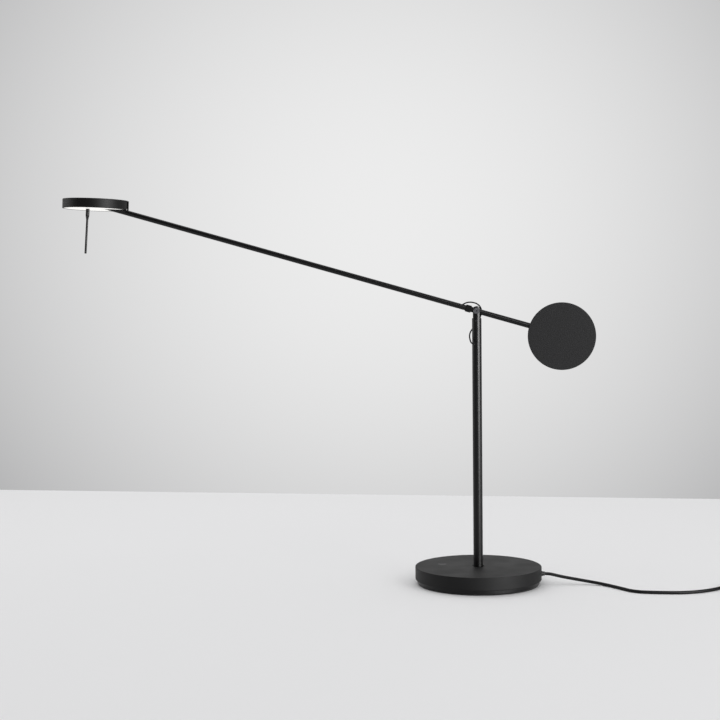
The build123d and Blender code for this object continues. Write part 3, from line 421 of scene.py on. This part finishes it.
# %% The band
STRAP_WIDTH = 6
BAND_SIZE = Vector((STRAP_WIDTH, 16.8, 15.8)) * MM
BAND_MIDDLE = Vector((COIL_CENTRE[0], 4.0, 8.0)) * MM
band_shape = bmesh.new()
box = bmesh.ops.create_cube(band_shape, size=1)["verts"]
bmesh.ops.scale(band_shape, verts=box, vec=BAND_SIZE)
bmesh.ops.translate(band_shape, verts=box, vec=BAND_MIDDLE)
open_sides = [face for face in band_shape.faces if abs(face.normal.x) > 0.9]
bmesh.ops.delete(band_shape, geom=open_sides, context="FACES_ONLY")
bent_edges = [edge for edge in band_shape.edges if len(edge.link_faces) == 2]
bmesh.ops.bevel(
    band_shape, geom=bent_edges, offset=2.6 * MM, segments=6, profile=0.5,
    affect="EDGES", material=-1,
)
bmesh.ops.recalc_face_normals(band_shape, faces=band_shape.faces)
bmesh.ops.solidify(band_shape, geom=band_shape.faces[:], thickness=0.8 * MM)
bmesh.ops.recalc_face_normals(band_shape, faces=band_shape.faces)
strap_band = finished("coil_strap", band_shape)

# %% The strap's loose end, a strip that lifts a little at its tip
END_LENGTH = 10.5
END_MIDDLE = Vector((COIL_CENTRE[0], 3.2, 16.2)) * MM
CURL_START = -0.6
CURL_LENGTH = 1.5
CURL_LIFT = 0.55
end_shape = bmesh.new()
strip = bmesh.ops.create_grid(end_shape, x_segments=1, y_segments=9, size=0.5)["verts"]
bmesh.ops.scale(end_shape, verts=strip, vec=(STRAP_WIDTH * MM, END_LENGTH * MM, 1))
bmesh.ops.translate(end_shape, verts=strip, vec=END_MIDDLE)
for point in strip:
    beyond = max((CURL_START - point.co.y / MM) / CURL_LENGTH, 0)
    point.co.z += CURL_LIFT * beyond * beyond * MM
bmesh.ops.solidify(end_shape, geom=end_shape.faces[:], thickness=0.7 * MM)
bmesh.ops.recalc_face_normals(end_shape, faces=end_shape.faces)
strap_end = finished("coil_strap_end", end_shape)
for piece in (strap_band, strap_end):
    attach(piece, "base")
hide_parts("coil_tie")

# %% [markdown]
# ## The free cords
# The mains cord and the loop at the pivot are the free cords, and their names are printed. The stretch
# in the head is only 29 mm long and held at both ends, which is too short to count as a free cord.

# %% The free cords
print("declared", mains_cord.name, "and", pivot_loop.name)

# %% [markdown]
# ## Table and studio
# The lamp stands on a plain white table whose far edge shows. Behind it is a pale grey
# studio wall, which the world draws: brightest behind the pole and darker towards the
# corners, and plain grey on the other sides. Black gloss shows what it mirrors, so
# mirrored rays see pale walls behind and beside the lamp and a dark room on the camera's
# side, as in a studio. Other rays see a plain dim room.

# %% Colour and node helpers
def colour(code):
    """A linear colour from an sRGB hex code."""
    parts = [int(code[start:start + 2], 16) / 255 for start in (1, 3, 5)]
    linear = [part / 12.92 if part <= 0.04045 else ((part + 0.055) / 1.055) ** 2.4 for part in parts]
    return (*linear, 1.0)


def add_node(tree, kind, inputs=None, **settings):
    """Adds a node with its settings; an input takes a value or another node's output."""
    made = tree.nodes.new(kind)
    for name, value in settings.items():
        setattr(made, name, value)
    for socket, value in (inputs or {}).items():
        if isinstance(value, bpy.types.NodeSocket):
            tree.links.new(value, made.inputs[socket])
        else:
            made.inputs[socket].default_value = value
    return made


# %% The table top
# It is far larger than a real one, so that every view shows one plain floor. Its far
# edge runs where the photograph has it, and the top is matt, with no highlight at all.
TABLE_CORNERS = ((-20, -20, 0), (20, -20, 0), (20, -0.093, 0), (-20, 2.124, 0))
table_shape = bmesh.new()
table_shape.faces.new([table_shape.verts.new(corner) for corner in TABLE_CORNERS])
table = finished("table", table_shape, smooth=False)
laminate = bpy.data.materials.new("white_matt_laminate_table")
laminate.use_nodes = True
tree = laminate.node_tree
shader = tree.nodes["Principled BSDF"]
shader.inputs["Base Color"].default_value = colour("#E6E6E7")
shader.inputs["Roughness"].default_value = 0.8
shader.inputs["Specular IOR Level"].default_value = 0.0
table.data.materials.append(laminate)

# %% The studio wall, drawn by the world
# The glow's middle is a direction from the camera. The distance from it is stretched
# across and upwards, so the glow is an oval, and past its reach the wall is plain grey.
GLOW_MIDDLE = (-0.092, 0.994, 0.063)
GLOW_STRETCH = (1.39, 0.0, 1.50)
GLOW_REACH = 0.23
ROOM_STRENGTH = 0.7
world = bpy.data.worlds.new("studio")
bpy.context.scene.world = world
world.use_nodes = True
tree = world.node_tree
tree.nodes.clear()
direction = add_node(tree, "ShaderNodeTexCoord").outputs["Generated"]
centred = add_node(
    tree, "ShaderNodeVectorMath", {0: direction, 1: GLOW_MIDDLE}, operation="SUBTRACT"
)
flattened = add_node(
    tree, "ShaderNodeVectorMath", {0: centred.outputs[0], 1: GLOW_STRETCH}, operation="MULTIPLY"
)
distance = add_node(tree, "ShaderNodeVectorMath", {0: flattened.outputs[0]}, operation="LENGTH")
squared = add_node(
    tree, "ShaderNodeMath", {0: distance.outputs["Value"], 1: 2.0}, operation="POWER"
)
falling = add_node(
    tree, "ShaderNodeMapRange",
    {"Value": squared.outputs[0], "From Min": 0.0, "From Max": GLOW_REACH},
)
wall = add_node(
    tree, "ShaderNodeMix",
    {0: falling.outputs["Result"], 6: colour("#ECECEC"), 7: colour("#AFAFB0")},
    data_type="RGBA",
)
# Mirrored rays change from the dark room to the pale wall where they point sideways.
split = add_node(tree, "ShaderNodeSeparateXYZ", {"Vector": direction})
behind = add_node(
    tree, "ShaderNodeMapRange",
    {"Value": split.outputs["Y"], "From Min": -0.25, "From Max": 0.3},
    interpolation_type="SMOOTHSTEP",
)
room = add_node(
    tree, "ShaderNodeMix",
    {0: behind.outputs["Result"], 6: colour("#202021"), 7: colour("#D2D2D2")},
    data_type="RGBA",
)
rays = add_node(tree, "ShaderNodeLightPath")
mirrored = add_node(
    tree, "ShaderNodeMath",
    {0: rays.outputs["Is Glossy Ray"], 1: rays.outputs["Is Transmission Ray"]},
    operation="MAXIMUM",
)
wall_light = add_node(tree, "ShaderNodeBackground", {"Color": wall.outputs[2], "Strength": 1.0})
mirror_light = add_node(tree, "ShaderNodeBackground", {"Color": room.outputs[2], "Strength": 1.0})
room_light = add_node(
    tree, "ShaderNodeBackground", {"Color": colour("#FFFFFF"), "Strength": ROOM_STRENGTH}
)
unseen = add_node(
    tree, "ShaderNodeMixShader",
    {0: mirrored.outputs[0], 1: room_light.outputs[0], 2: mirror_light.outputs[0]},
)
both = add_node(
    tree, "ShaderNodeMixShader",
    {0: rays.outputs["Is Camera Ray"], 1: unseen.outputs[0], 2: wall_light.outputs[0]},
)
add_node(tree, "ShaderNodeOutputWorld", {"Surface": both.outputs[0]})
print("world nodes", len(tree.nodes))

# %% [markdown]
# ## Soft lamps
# A tall soft box stands to the right of the camera, and a large one hangs above, a little
# behind the lamp. Black lacquer shows a studio mostly by what it mirrors, so three more
# panels are there for gloss alone: a low strip on the right draws the bright line down
# the pole, a weak panel on the left edges everything round, and one above the camera
# lightens the upper side of the arm towards the pivot.

# %% Soft boxes
def soft_box(name, place, aim, size, power, gloss_only):
    """A rectangular lamp that points at a place."""
    data = bpy.data.lights.new(name, "AREA")
    data.shape = "RECTANGLE"
    data.size = size[0]
    data.size_y = size[1]
    data.energy = power
    made = bpy.data.objects.new(name, data)
    made.location = place
    made.rotation_mode = "QUATERNION"
    made.rotation_quaternion = (Vector(aim) - Vector(place)).to_track_quat("-Z", "Y")
    made.visible_camera = False
    made.visible_diffuse = not gloss_only
    bpy.context.scene.collection.objects.link(made)


# Name, place and aim in metres, width and height, watts, and whether it is for gloss alone.
for settings in (
    ("side_soft_box", (2.0, -1.8, 1.5), (0, 0, 0.3), (1.2, 1.5), 14, False),
    ("top_soft_box", (-0.6, 0.75, 2.3), (-0.2, 0.3, 0), (2.8, 2.6), 18, False),
    ("right_gloss_strip", (1.87, -1.66, 0.46), (0, 0, 0.43), (1.7, 0.84), 96, True),
    ("left_gloss_panel", (-2.7, 0.05, 0.75), (-0.3, 0, 0.5), (1.5, 1.3), 9, True),
    ("front_gloss_panel", (0.9, -1.75, 1.8), (0.1, 0, 0.45), (1.3, 0.9), 24, True),
):
    soft_box(*settings)

# %% [markdown]
# ## Finishes
# Nearly everything is black, so the finishes differ in grain and gloss: sandy powder coat
# on the iron, smooth satin lacquer on the tubes, soft vinyl on the cords. Each one starts
# from its base colour and roughness, and its own pattern is joined on after that. Painted
# images could do this too, but patterns made by nodes have no seams and need no file. They
# read the object's own coordinates, which are metres here.

# %% A finish from its base values
def finish(name, code, roughness, metallic=0.0, specular=0.5):
    """A Principled material with its texture coordinates in the object's own metres."""
    made = bpy.data.materials.new(name)
    made.use_nodes = True
    tree = made.node_tree
    shader = tree.nodes["Principled BSDF"]
    shader.inputs["Base Color"].default_value = colour(code)
    shader.inputs["Roughness"].default_value = roughness
    shader.inputs["Metallic"].default_value = metallic
    shader.inputs["Specular IOR Level"].default_value = specular
    where = add_node(tree, "ShaderNodeTexCoord").outputs["Object"]
    print(name, code)
    return made, tree, shader, where


def join(tree, shader, **outputs):
    """Links outputs to the shader's sockets, named with underscores for spaces."""
    for socket, output in outputs.items():
        tree.links.new(output, shader.inputs[socket.replace("_", " ")])


def per_mm(size):
    """The scale that makes a pattern's cells this many millimetres wide."""
    return 1 / (size * MM)


# %% [markdown]
# ### The four black coats
# The iron parts are powder coated, the tubes and the head are sprayed. What tells them
# apart is the width of a lamp's reflection and the grain in it, so each coat gets its own
# roughness, and a bump of about a tenth of a millimetre on the iron and a few thousandths
# on the sprayed parts.

# %% Black powder coat on cast iron
# Powder melts into tiny rounded bumps, which break every reflection into a soft, slightly
# sandy black. The real bumps are about 0.4 mm; they are drawn at 1.5 mm so that they show.
powder_coat, tree, shader, where = finish(
    "black_powder_coated_cast_iron", "#0E0E0F", 0.55, specular=0.22
)
sand = add_node(tree, "ShaderNodeTexNoise", {"Vector": where, "Scale": per_mm(1.5), "Detail": 4.0})
cloud = add_node(tree, "ShaderNodeTexNoise", {"Vector": where, "Scale": per_mm(38), "Detail": 1.0})
tone = add_node(
    tree, "ShaderNodeMix",
    {0: sand.outputs["Fac"], 6: colour("#09090A"), 7: colour("#141415")},
    data_type="RGBA",
)
gloss = add_node(
    tree, "ShaderNodeMapRange",
    {"Value": cloud.outputs["Fac"], "From Min": 0.3, "From Max": 0.7, "To Min": 0.52, "To Max": 0.6},
)
relief = add_node(
    tree, "ShaderNodeBump", {"Height": sand.outputs["Fac"], "Distance": 0.06 * MM, "Strength": 1.0}
)
join(
    tree, shader, Base_Color=tone.outputs[2], Roughness=gloss.outputs["Result"],
    Normal=relief.outputs["Normal"],
)

# %% A coarser powder coat on the counterweight
# The weight is a rougher casting under the same powder. It scatters the lamps' light
# evenly, so its face looks like a flat charcoal grey. Its rounded bumps are about a
# millimetre wide, and drawn at 2.2 mm so that they show.
weight_coat, tree, shader, where = finish(
    "black_textured_powder_coat_on_iron", "#1A1A1C", 0.62, specular=0.2
)
bumps = add_node(
    tree, "ShaderNodeTexVoronoi", {"Vector": where, "Scale": per_mm(2.2)}, feature="SMOOTH_F1"
)
sand = add_node(tree, "ShaderNodeTexNoise", {"Vector": where, "Scale": per_mm(1.2), "Detail": 3.0})
tone = add_node(
    tree, "ShaderNodeMix",
    {0: sand.outputs["Fac"], 6: colour("#141415"), 7: colour("#222224")},
    data_type="RGBA",
)
relief = add_node(
    tree, "ShaderNodeBump",
    {"Height": bumps.outputs["Distance"], "Distance": 0.12 * MM, "Strength": 1.0},
)
join(tree, shader, Base_Color=tone.outputs[2], Normal=relief.outputs["Normal"])

# %% Satin black lacquer on steel tube
# Sprayed lacquer flows almost flat but keeps a faint orange-peel wave of a few
# millimetres, so a lamp's reflection on the tube is a bright line with soft edges.
lacquer, tree, shader, where = finish("satin_black_lacquered_steel_tube", "#0B0B0C", 0.32, specular=0.25)
peel = add_node(tree, "ShaderNodeTexNoise", {"Vector": where, "Scale": per_mm(3.5), "Detail": 2.0})
gloss = add_node(
    tree, "ShaderNodeMapRange",
    {"Value": peel.outputs["Fac"], "From Min": 0.3, "From Max": 0.7, "To Min": 0.3, "To Max": 0.35},
)
relief = add_node(
    tree, "ShaderNodeBump", {"Height": peel.outputs["Fac"], "Distance": 0.002 * MM, "Strength": 1.0}
)
join(tree, shader, Roughness=gloss.outputs["Result"], Normal=relief.outputs["Normal"])

# %% Satin black lacquer on the turned aluminium head
# The turned disc is lacquered as the tube is, a little duller, over fine tool marks that
# run round its rim and catch the light as faint level streaks. The marks are about 0.2 mm
# apart, and drawn at 0.8 mm so that they show. The Mapping node shrinks the level axes,
# which stretches the marks along the rim.
head_coat, tree, shader, where = finish(
    "satin_black_lacquered_aluminium", "#09090A", 0.5, specular=0.2
)
round_rim = add_node(tree, "ShaderNodeMapping", {"Vector": where, "Scale": (0.15, 0.15, 1.0)})
marks = add_node(
    tree, "ShaderNodeTexNoise",
    {"Vector": round_rim.outputs["Vector"], "Scale": per_mm(0.8), "Detail": 2.0},
)
gloss = add_node(
    tree, "ShaderNodeMapRange",
    {"Value": marks.outputs["Fac"], "From Min": 0.3, "From Max": 0.7, "To Min": 0.47, "To Max": 0.53},
)
relief = add_node(
    tree, "ShaderNodeBump", {"Height": marks.outputs["Fac"], "Distance": 0.004 * MM, "Strength": 1.0}
)
join(tree, shader, Roughness=gloss.outputs["Result"], Normal=relief.outputs["Normal"])

# %% [markdown]
# ### The parts that carry the light
# The opal face glows by itself instead of letting real light through: that is quick, and
# looks the same from every side and under any studio. Its colour and its glow together
# come to just about white. What is behind it shows only through the arm's slot.

# %% Opal acrylic, lit from behind
# Satin opal sheet spreads the chips' light until it looks even. The glow still rises and
# falls a little every 16 mm outwards, and is brightest 24 and 40 mm from the middle, where
# the chips sit.
CHIP_RINGS = 16
HEAD_MIDDLE = (-0.6149, 0, 0.6037)
opal, tree, shader, where = finish("satin_opal_acrylic", "#BABAB7", 0.4)
middle = add_node(
    tree, "ShaderNodeMapping", {"Vector": where, "Location": HEAD_MIDDLE}, vector_type="TEXTURE"
)
reach = add_node(tree, "ShaderNodeVectorMath", {0: middle.outputs["Vector"]}, operation="LENGTH")
rings = add_node(
    tree, "ShaderNodeMath",
    {0: reach.outputs["Value"], 1: 2 * math.pi * per_mm(CHIP_RINGS)}, operation="MULTIPLY",
)
wave = add_node(tree, "ShaderNodeMath", {0: rings.outputs[0]}, operation="COSINE")
glow = add_node(
    tree, "ShaderNodeMapRange",
    {"Value": wave.outputs[0], "From Min": 1.0, "From Max": -1.0, "To Min": 0.54, "To Max": 0.66},
)
shader.inputs["Emission Color"].default_value = colour("#FFFEFB")
join(tree, shader, Emission_Strength=glow.outputs["Result"])

# %% White moulded tray
# Matt white polycarbonate throws the chips' light forward. Its skin is finely eroded, as
# the spark-cut mould leaves it, so it has no glare: the grain is drawn at 0.7 mm, coarser
# than the real tenth of a millimetre.
tray_white, tree, shader, where = finish("white_moulded_polycarbonate", "#EDEDEA", 0.5)
eroded = add_node(tree, "ShaderNodeTexNoise", {"Vector": where, "Scale": per_mm(0.7), "Detail": 2.0})
relief = add_node(
    tree, "ShaderNodeBump", {"Height": eroded.outputs["Fac"], "Distance": 0.01 * MM, "Strength": 1.0}
)
join(tree, shader, Normal=relief.outputs["Normal"])

# %% White solder mask on the lamp's aluminium board
# Solder mask is a smooth, slightly glossy white paint. The copper under it shows as fields
# a shade darker, here 5 mm wide, with thin lines between them.
board_white, tree, shader, where = finish("white_solder_mask_on_aluminium", "#E2E3E0", 0.35)
tracks = add_node(
    tree, "ShaderNodeTexBrick",
    {
        "Vector": where, "Color1": colour("#E2E3E0"), "Color2": colour("#DADBD8"),
        "Mortar": colour("#C4C6C2"), "Scale": per_mm(5), "Mortar Size": 0.03,
    },
)
join(tree, shader, Base_Color=tracks.outputs["Color"])

# %% Phosphor over a lamp chip
# A white lamp chip is a blue one under yellow phosphor gel, glossy, with a few darker
# grains, which are drawn at 0.5 mm so that they show.
phosphor, tree, shader, where = finish("yellow_phosphor_gel", "#E8C33C", 0.3)
grains = add_node(tree, "ShaderNodeTexNoise", {"Vector": where, "Scale": per_mm(0.5), "Detail": 3.0})
tone = add_node(
    tree, "ShaderNodeMix",
    {0: grains.outputs["Fac"], 6: colour("#D9AE26"), 7: colour("#F4D75A")},
    data_type="RGBA",
)
join(tree, shader, Base_Color=tone.outputs[2])

# %% [markdown]
# ### Screws, springs and bearings
# Bare and plated metals are made with metallic at or near 1, where the base colour is the
# colour of the reflection, and a dull phosphate skin halves it. They differ in that colour,
# in how wide the highlight is, and in the marks that cutting, plating or pressing leaves.

# %% Black oxide on the small screws
# Oxide-blackened steel is metal under a thin dark skin: dark, but with a metal's bright,
# narrow highlights, and faint turning marks, drawn 0.6 mm apart so that they show.
blackened, tree, shader, where = finish("black_oxide_steel", "#47474A", 0.36, metallic=0.9)
drawn_out = add_node(tree, "ShaderNodeMapping", {"Vector": where, "Scale": (1.0, 0.2, 1.0)})
turning = add_node(
    tree, "ShaderNodeTexNoise",
    {"Vector": drawn_out.outputs["Vector"], "Scale": per_mm(0.6), "Detail": 2.0},
)
gloss = add_node(
    tree, "ShaderNodeMapRange",
    {"Value": turning.outputs["Fac"], "From Min": 0.3, "From Max": 0.7, "To Min": 0.3, "To Max": 0.46},
)
join(tree, shader, Roughness=gloss.outputs["Result"])

# %% Black nickel on the pivot screw and nut
# Black nickel plate is a smoky, half-dark mirror. It keeps the rings that the lathe left in
# the screw's head, so the pivot shows as a lighter disc on the black fork. The rings are
# about 0.2 mm apart, and drawn at 0.8 mm so that they show.
PIVOT_CENTRE = (0, 0, 433.2 * MM)
LATHE_PITCH = 0.8
smoky, tree, shader, where = finish("black_nickel_plated_steel", "#6E6E72", 0.34, metallic=1.0)
pivot_centre = add_node(
    tree, "ShaderNodeMapping", {"Vector": where, "Location": PIVOT_CENTRE}, vector_type="TEXTURE"
)
across = add_node(
    tree, "ShaderNodeVectorMath", {0: pivot_centre.outputs["Vector"], 1: (1, 0, 1)}, operation="MULTIPLY"
)
out_from_middle = add_node(tree, "ShaderNodeVectorMath", {0: across.outputs[0]}, operation="LENGTH")
lathe_rings = add_node(
    tree, "ShaderNodeMath",
    {0: out_from_middle.outputs["Value"], 1: 2 * math.pi * per_mm(LATHE_PITCH)},
    operation="MULTIPLY",
)
ring_wave = add_node(tree, "ShaderNodeMath", {0: lathe_rings.outputs[0]}, operation="SINE")
gloss = add_node(
    tree, "ShaderNodeMapRange",
    {"Value": ring_wave.outputs[0], "From Min": -1.0, "From Max": 1.0, "To Min": 0.28, "To Max": 0.42},
)
join(tree, shader, Roughness=gloss.outputs["Result"])

# %% Zinc-plated steel
# Bright zinc is a bluish mirror with a cloud of pale crystals, about a millimetre across.
zinc, tree, shader, where = finish("zinc_plated_steel", "#B5B9BD", 0.35, metallic=1.0)
crystals = add_node(tree, "ShaderNodeTexVoronoi", {"Vector": where, "Scale": per_mm(1.2)})
tone = add_node(
    tree, "ShaderNodeMix",
    {0: crystals.outputs["Distance"], 6: colour("#A4A9AE"), 7: colour("#C6CACD")},
    data_type="RGBA",
)
gloss = add_node(
    tree, "ShaderNodeMapRange", {"Value": crystals.outputs["Distance"], "To Min": 0.28, "To Max": 0.42}
)
join(tree, shader, Base_Color=tone.outputs[2], Roughness=gloss.outputs["Result"])

# %% Phosphated spring steel
# Phosphate is a matt grey-black crystal skin that holds oil, so it has no clear highlight.
# The crystals are far too fine to see, and drawn at 0.6 mm.
spring_skin, tree, shader, where = finish("phosphated_spring_steel", "#1E1F20", 0.5, metallic=0.5)
skin = add_node(tree, "ShaderNodeTexNoise", {"Vector": where, "Scale": per_mm(0.6), "Detail": 3.0})
gloss = add_node(
    tree, "ShaderNodeMapRange",
    {"Value": skin.outputs["Fac"], "From Min": 0.3, "From Max": 0.7, "To Min": 0.42, "To Max": 0.6},
)
join(tree, shader, Roughness=gloss.outputs["Result"])

# %% Sintered bronze
# Pressed bronze powder keeps open pores, which hold the bearing's oil and look like dark
# pinpricks. The pores are drawn at 0.5 mm, four times their real size.
bronze, tree, shader, where = finish("sintered_bronze", "#8A6236", 0.42, metallic=1.0)
pores = add_node(tree, "ShaderNodeTexVoronoi", {"Vector": where, "Scale": per_mm(0.5)})
dark_pores = add_node(
    tree, "ShaderNodeMapRange", {"Value": pores.outputs["Distance"], "From Min": 0.1, "From Max": 0.35}
)
tone = add_node(
    tree, "ShaderNodeMix",
    {0: dark_pores.outputs["Result"], 6: colour("#3A2A18"), 7: colour("#936A3C")},
    data_type="RGBA",
)
join(tree, shader, Base_Color=tone.outputs[2])

# %% Nickel plate on the plug's brass pins
# Nickel is a warm pale metal; plugging in draws fine scratches along each pin, which run
# on for some millimetres and are drawn 0.35 mm apart so that they show.
nickel, tree, shader, where = finish("nickel_plated_brass", "#C9C5BC", 0.22, metallic=1.0)
along_pin = add_node(tree, "ShaderNodeMapping", {"Vector": where, "Scale": (1.0, 0.04, 1.0)})
scratches = add_node(
    tree, "ShaderNodeTexNoise",
    {"Vector": along_pin.outputs["Vector"], "Scale": per_mm(0.35), "Detail": 2.0},
)
gloss = add_node(
    tree, "ShaderNodeMapRange",
    {
        "Value": scratches.outputs["Fac"], "From Min": 0.35, "From Max": 0.7,
        "To Min": 0.16, "To Max": 0.34,
    },
)
join(tree, shader, Roughness=gloss.outputs["Result"])

# %% Black anodised touch plate
# Anodised aluminium is a dark glassy skin on finely blasted metal, so the touch plate has
# a soft silky sheen beside the sandy powder coat. The blasting is drawn at 0.5 mm.
anodised, tree, shader, where = finish("black_anodised_aluminium", "#17171A", 0.45, metallic=0.5)
blasted = add_node(tree, "ShaderNodeTexNoise", {"Vector": where, "Scale": per_mm(0.5), "Detail": 2.0})
relief = add_node(
    tree, "ShaderNodeBump", {"Height": blasted.outputs["Fac"], "Distance": 0.01 * MM, "Strength": 1.0}
)
join(tree, shader, Normal=relief.outputs["Normal"])

# %% [markdown]
# ### Cords, rubber, felt and plastic
# The soft and moulded parts are black too, and are told apart by how dull they are: vinyl
# is waxy, silicone and rubber are dusty, felt has no highlight, and a moulded case has the
# even grain of its mould.

# %% Soft black vinyl on the cords
# Extruded vinyl is soft and a little waxy: a broad dull highlight along the cord, with a
# faint ripple of about a millimetre from the extruder.
vinyl, tree, shader, where = finish("matt_black_vinyl_cord", "#0A0A0B", 0.52, specular=0.2)
ripple = add_node(tree, "ShaderNodeTexNoise", {"Vector": where, "Scale": per_mm(1.4), "Detail": 2.0})
gloss = add_node(
    tree, "ShaderNodeMapRange",
    {"Value": ripple.outputs["Fac"], "From Min": 0.3, "From Max": 0.7, "To Min": 0.47, "To Max": 0.58},
)
relief = add_node(
    tree, "ShaderNodeBump", {"Height": ripple.outputs["Fac"], "Distance": 0.02 * MM, "Strength": 1.0}
)
join(tree, shader, Roughness=gloss.outputs["Result"], Normal=relief.outputs["Normal"])

# %% Silicone on the thin lamp cable
# The thin cable has a silicone jacket, because it bends at the pivot every time the arm
# moves. Silicone is very soft and dull, so the loop looks like a plain black line. Dust
# clings to it in specks, drawn at 1 mm.
silicone, tree, shader, where = finish("dull_black_silicone_cable", "#080809", 0.7, specular=0.15)
dust = add_node(tree, "ShaderNodeTexNoise", {"Vector": where, "Scale": per_mm(1.0), "Detail": 3.0})
tone = add_node(
    tree, "ShaderNodeMix",
    {0: dust.outputs["Fac"], 6: colour("#060607"), 7: colour("#0D0D0E")},
    data_type="RGBA",
)
join(tree, shader, Base_Color=tone.outputs[2])

# %% Moulded rubber
# Rubber for a bend sleeve or an eyelet is duller than vinyl and has a dusty bloom, in
# clouds of about 4 mm.
rubber, tree, shader, where = finish("moulded_black_rubber", "#171717", 0.62)
bloom = add_node(tree, "ShaderNodeTexNoise", {"Vector": where, "Scale": per_mm(4), "Detail": 4.0})
tone = add_node(
    tree, "ShaderNodeMix",
    {0: bloom.outputs["Fac"], 6: colour("#121212"), 7: colour("#1F1F1F")},
    data_type="RGBA",
)
join(tree, shader, Base_Color=tone.outputs[2])

# %% Pressed felt under the base
# Felt is a mat of fibres: no highlight at all, a soft rim where light catches the loose
# ends, and a mottled black. The fibres are drawn at 1.2 mm, coarser than real.
felt, tree, shader, where = finish("pressed_black_felt", "#101011", 0.95)
shader.inputs["Sheen Weight"].default_value = 0.25
fibres = add_node(
    tree, "ShaderNodeTexNoise",
    {"Vector": where, "Scale": per_mm(1.2), "Detail": 5.0, "Roughness": 0.7, "Distortion": 1.5},
)
tone = add_node(
    tree, "ShaderNodeMix",
    {0: fibres.outputs["Fac"], 6: colour("#09090A"), 7: colour("#1D1D1F")},
    data_type="RGBA",
)
relief = add_node(
    tree, "ShaderNodeBump", {"Height": fibres.outputs["Fac"], "Distance": 0.3 * MM, "Strength": 1.0}
)
join(tree, shader, Base_Color=tone.outputs[2], Normal=relief.outputs["Normal"])

# %% Moulded black ABS
# The plug, the driver's case and the clamp come from spark-cut moulds, which leave a fine
# even grain that keeps the plastic from looking wet. It is drawn at 0.7 mm, a few times
# coarser than real.
abs_black, tree, shader, where = finish("moulded_black_abs", "#18181A", 0.48)
mould = add_node(tree, "ShaderNodeTexVoronoi", {"Vector": where, "Scale": per_mm(0.7)})
relief = add_node(
    tree, "ShaderNodeBump", {"Height": mould.outputs["Distance"], "Distance": 0.03 * MM, "Strength": 1.0}
)
join(tree, shader, Normal=relief.outputs["Normal"])

# %% Black acetal friction washers
# Acetal is a slippery, waxy plastic. The washers' dark rims are rubbed a little shinier in
# patches of about a millimetre.
acetal, tree, shader, where = finish("black_acetal", "#1B1B1D", 0.4)
polish = add_node(tree, "ShaderNodeTexNoise", {"Vector": where, "Scale": per_mm(0.8), "Detail": 1.0})
gloss = add_node(
    tree, "ShaderNodeMapRange",
    {"Value": polish.outputs["Fac"], "From Min": 0.3, "From Max": 0.7, "To Min": 0.32, "To Max": 0.48},
)
join(tree, shader, Roughness=gloss.outputs["Result"])

# %% Woven tape of the strap
# Nylon tape has a rib along it for every thread, so it looks dull and finely lined. The
# threads are about 0.6 mm apart, and drawn at 1.2 mm so that they show. The bands of a
# wave texture are pi / 10 of its cell apart, which the scale makes up for.
THREAD_PITCH = 1.2
tape, tree, shader, where = finish("woven_black_nylon_tape", "#161617", 0.8)
shader.inputs["Sheen Weight"].default_value = 0.2
threads = add_node(
    tree, "ShaderNodeTexWave",
    {"Vector": where, "Scale": per_mm(THREAD_PITCH * 10 / math.pi), "Distortion": 1.0},
    bands_direction="X",
)
relief = add_node(
    tree, "ShaderNodeBump", {"Height": threads.outputs["Fac"], "Distance": 0.12 * MM, "Strength": 1.0}
)
join(tree, shader, Normal=relief.outputs["Normal"])

# %% Green circuit board
# Glass cloth under clear green lacquer: glossy, with a faint square weave, which is drawn
# at 0.8 mm, about twice as coarse as real.
circuit, tree, shader, where = finish("green_lacquered_glass_board", "#1E5A35", 0.3)
weave = add_node(
    tree, "ShaderNodeTexChecker",
    {"Vector": where, "Color1": colour("#1E5A35"), "Color2": colour("#24653C"), "Scale": per_mm(0.8)},
)
join(tree, shader, Base_Color=weave.outputs["Color"])

# %% [markdown]
# ## Putting the finishes on
# The record names a material slot for every CAD node. Each slot gets one finish, and the
# few nodes whose real finish differs from their slot's are named one by one.

# %% Finishes by slot and by node
by_slot = {
    "black_iron": powder_coat,
    "black_steel": lacquer,
    "plain_steel": zinc,
    "spring_steel": spring_skin,
    "black_aluminium": head_coat,
    "board_aluminium": board_white,
    "circuit_board": circuit,
    "felt": felt,
    "black_rubber": rubber,
    "cord_black": vinyl,
    "lead_black": silicone,
    "black_plastic": abs_black,
    "touch_metal": anodised,
    "nickel_brass": nickel,
    "bronze": bronze,
    "friction_plastic": acetal,
    "white_tray": tray_white,
    "opal_acrylic": opal,
    "led_yellow": phosphor,
}
by_node = {
    "counterweight": weight_coat,
    "pivot_screw": smoky,
    "pivot_nut": smoky,
    "fork_grub": blackened,
    "arm_grubs": blackened,
    "weight_grub": blackened,
    "bracket_screws": blackened,
    "plate_screws": blackened,
}
for entry in frame["record"]["subparts"]:
    piece = frame["nodes"][entry["node"]]
    chosen = by_node.get(entry["node"], by_slot[entry["material_slot"]])
    piece.data.materials.clear()
    piece.data.materials.append(chosen)
own_finish = {
    mains_cord: vinyl,
    pivot_loop: silicone,
    head_cable: silicone,
    plug_moulding: abs_black,
    bend_sleeve: rubber,
    strap_band: tape,
    strap_end: tape,
}
for piece, chosen in own_finish.items():
    piece.data.materials.clear()
    piece.data.materials.append(chosen)

# %% [markdown]
# ## The colour view
# The render uses the Standard view transform.

# %% The Standard view transform
bpy.context.scene.view_settings.view_transform = "Standard"
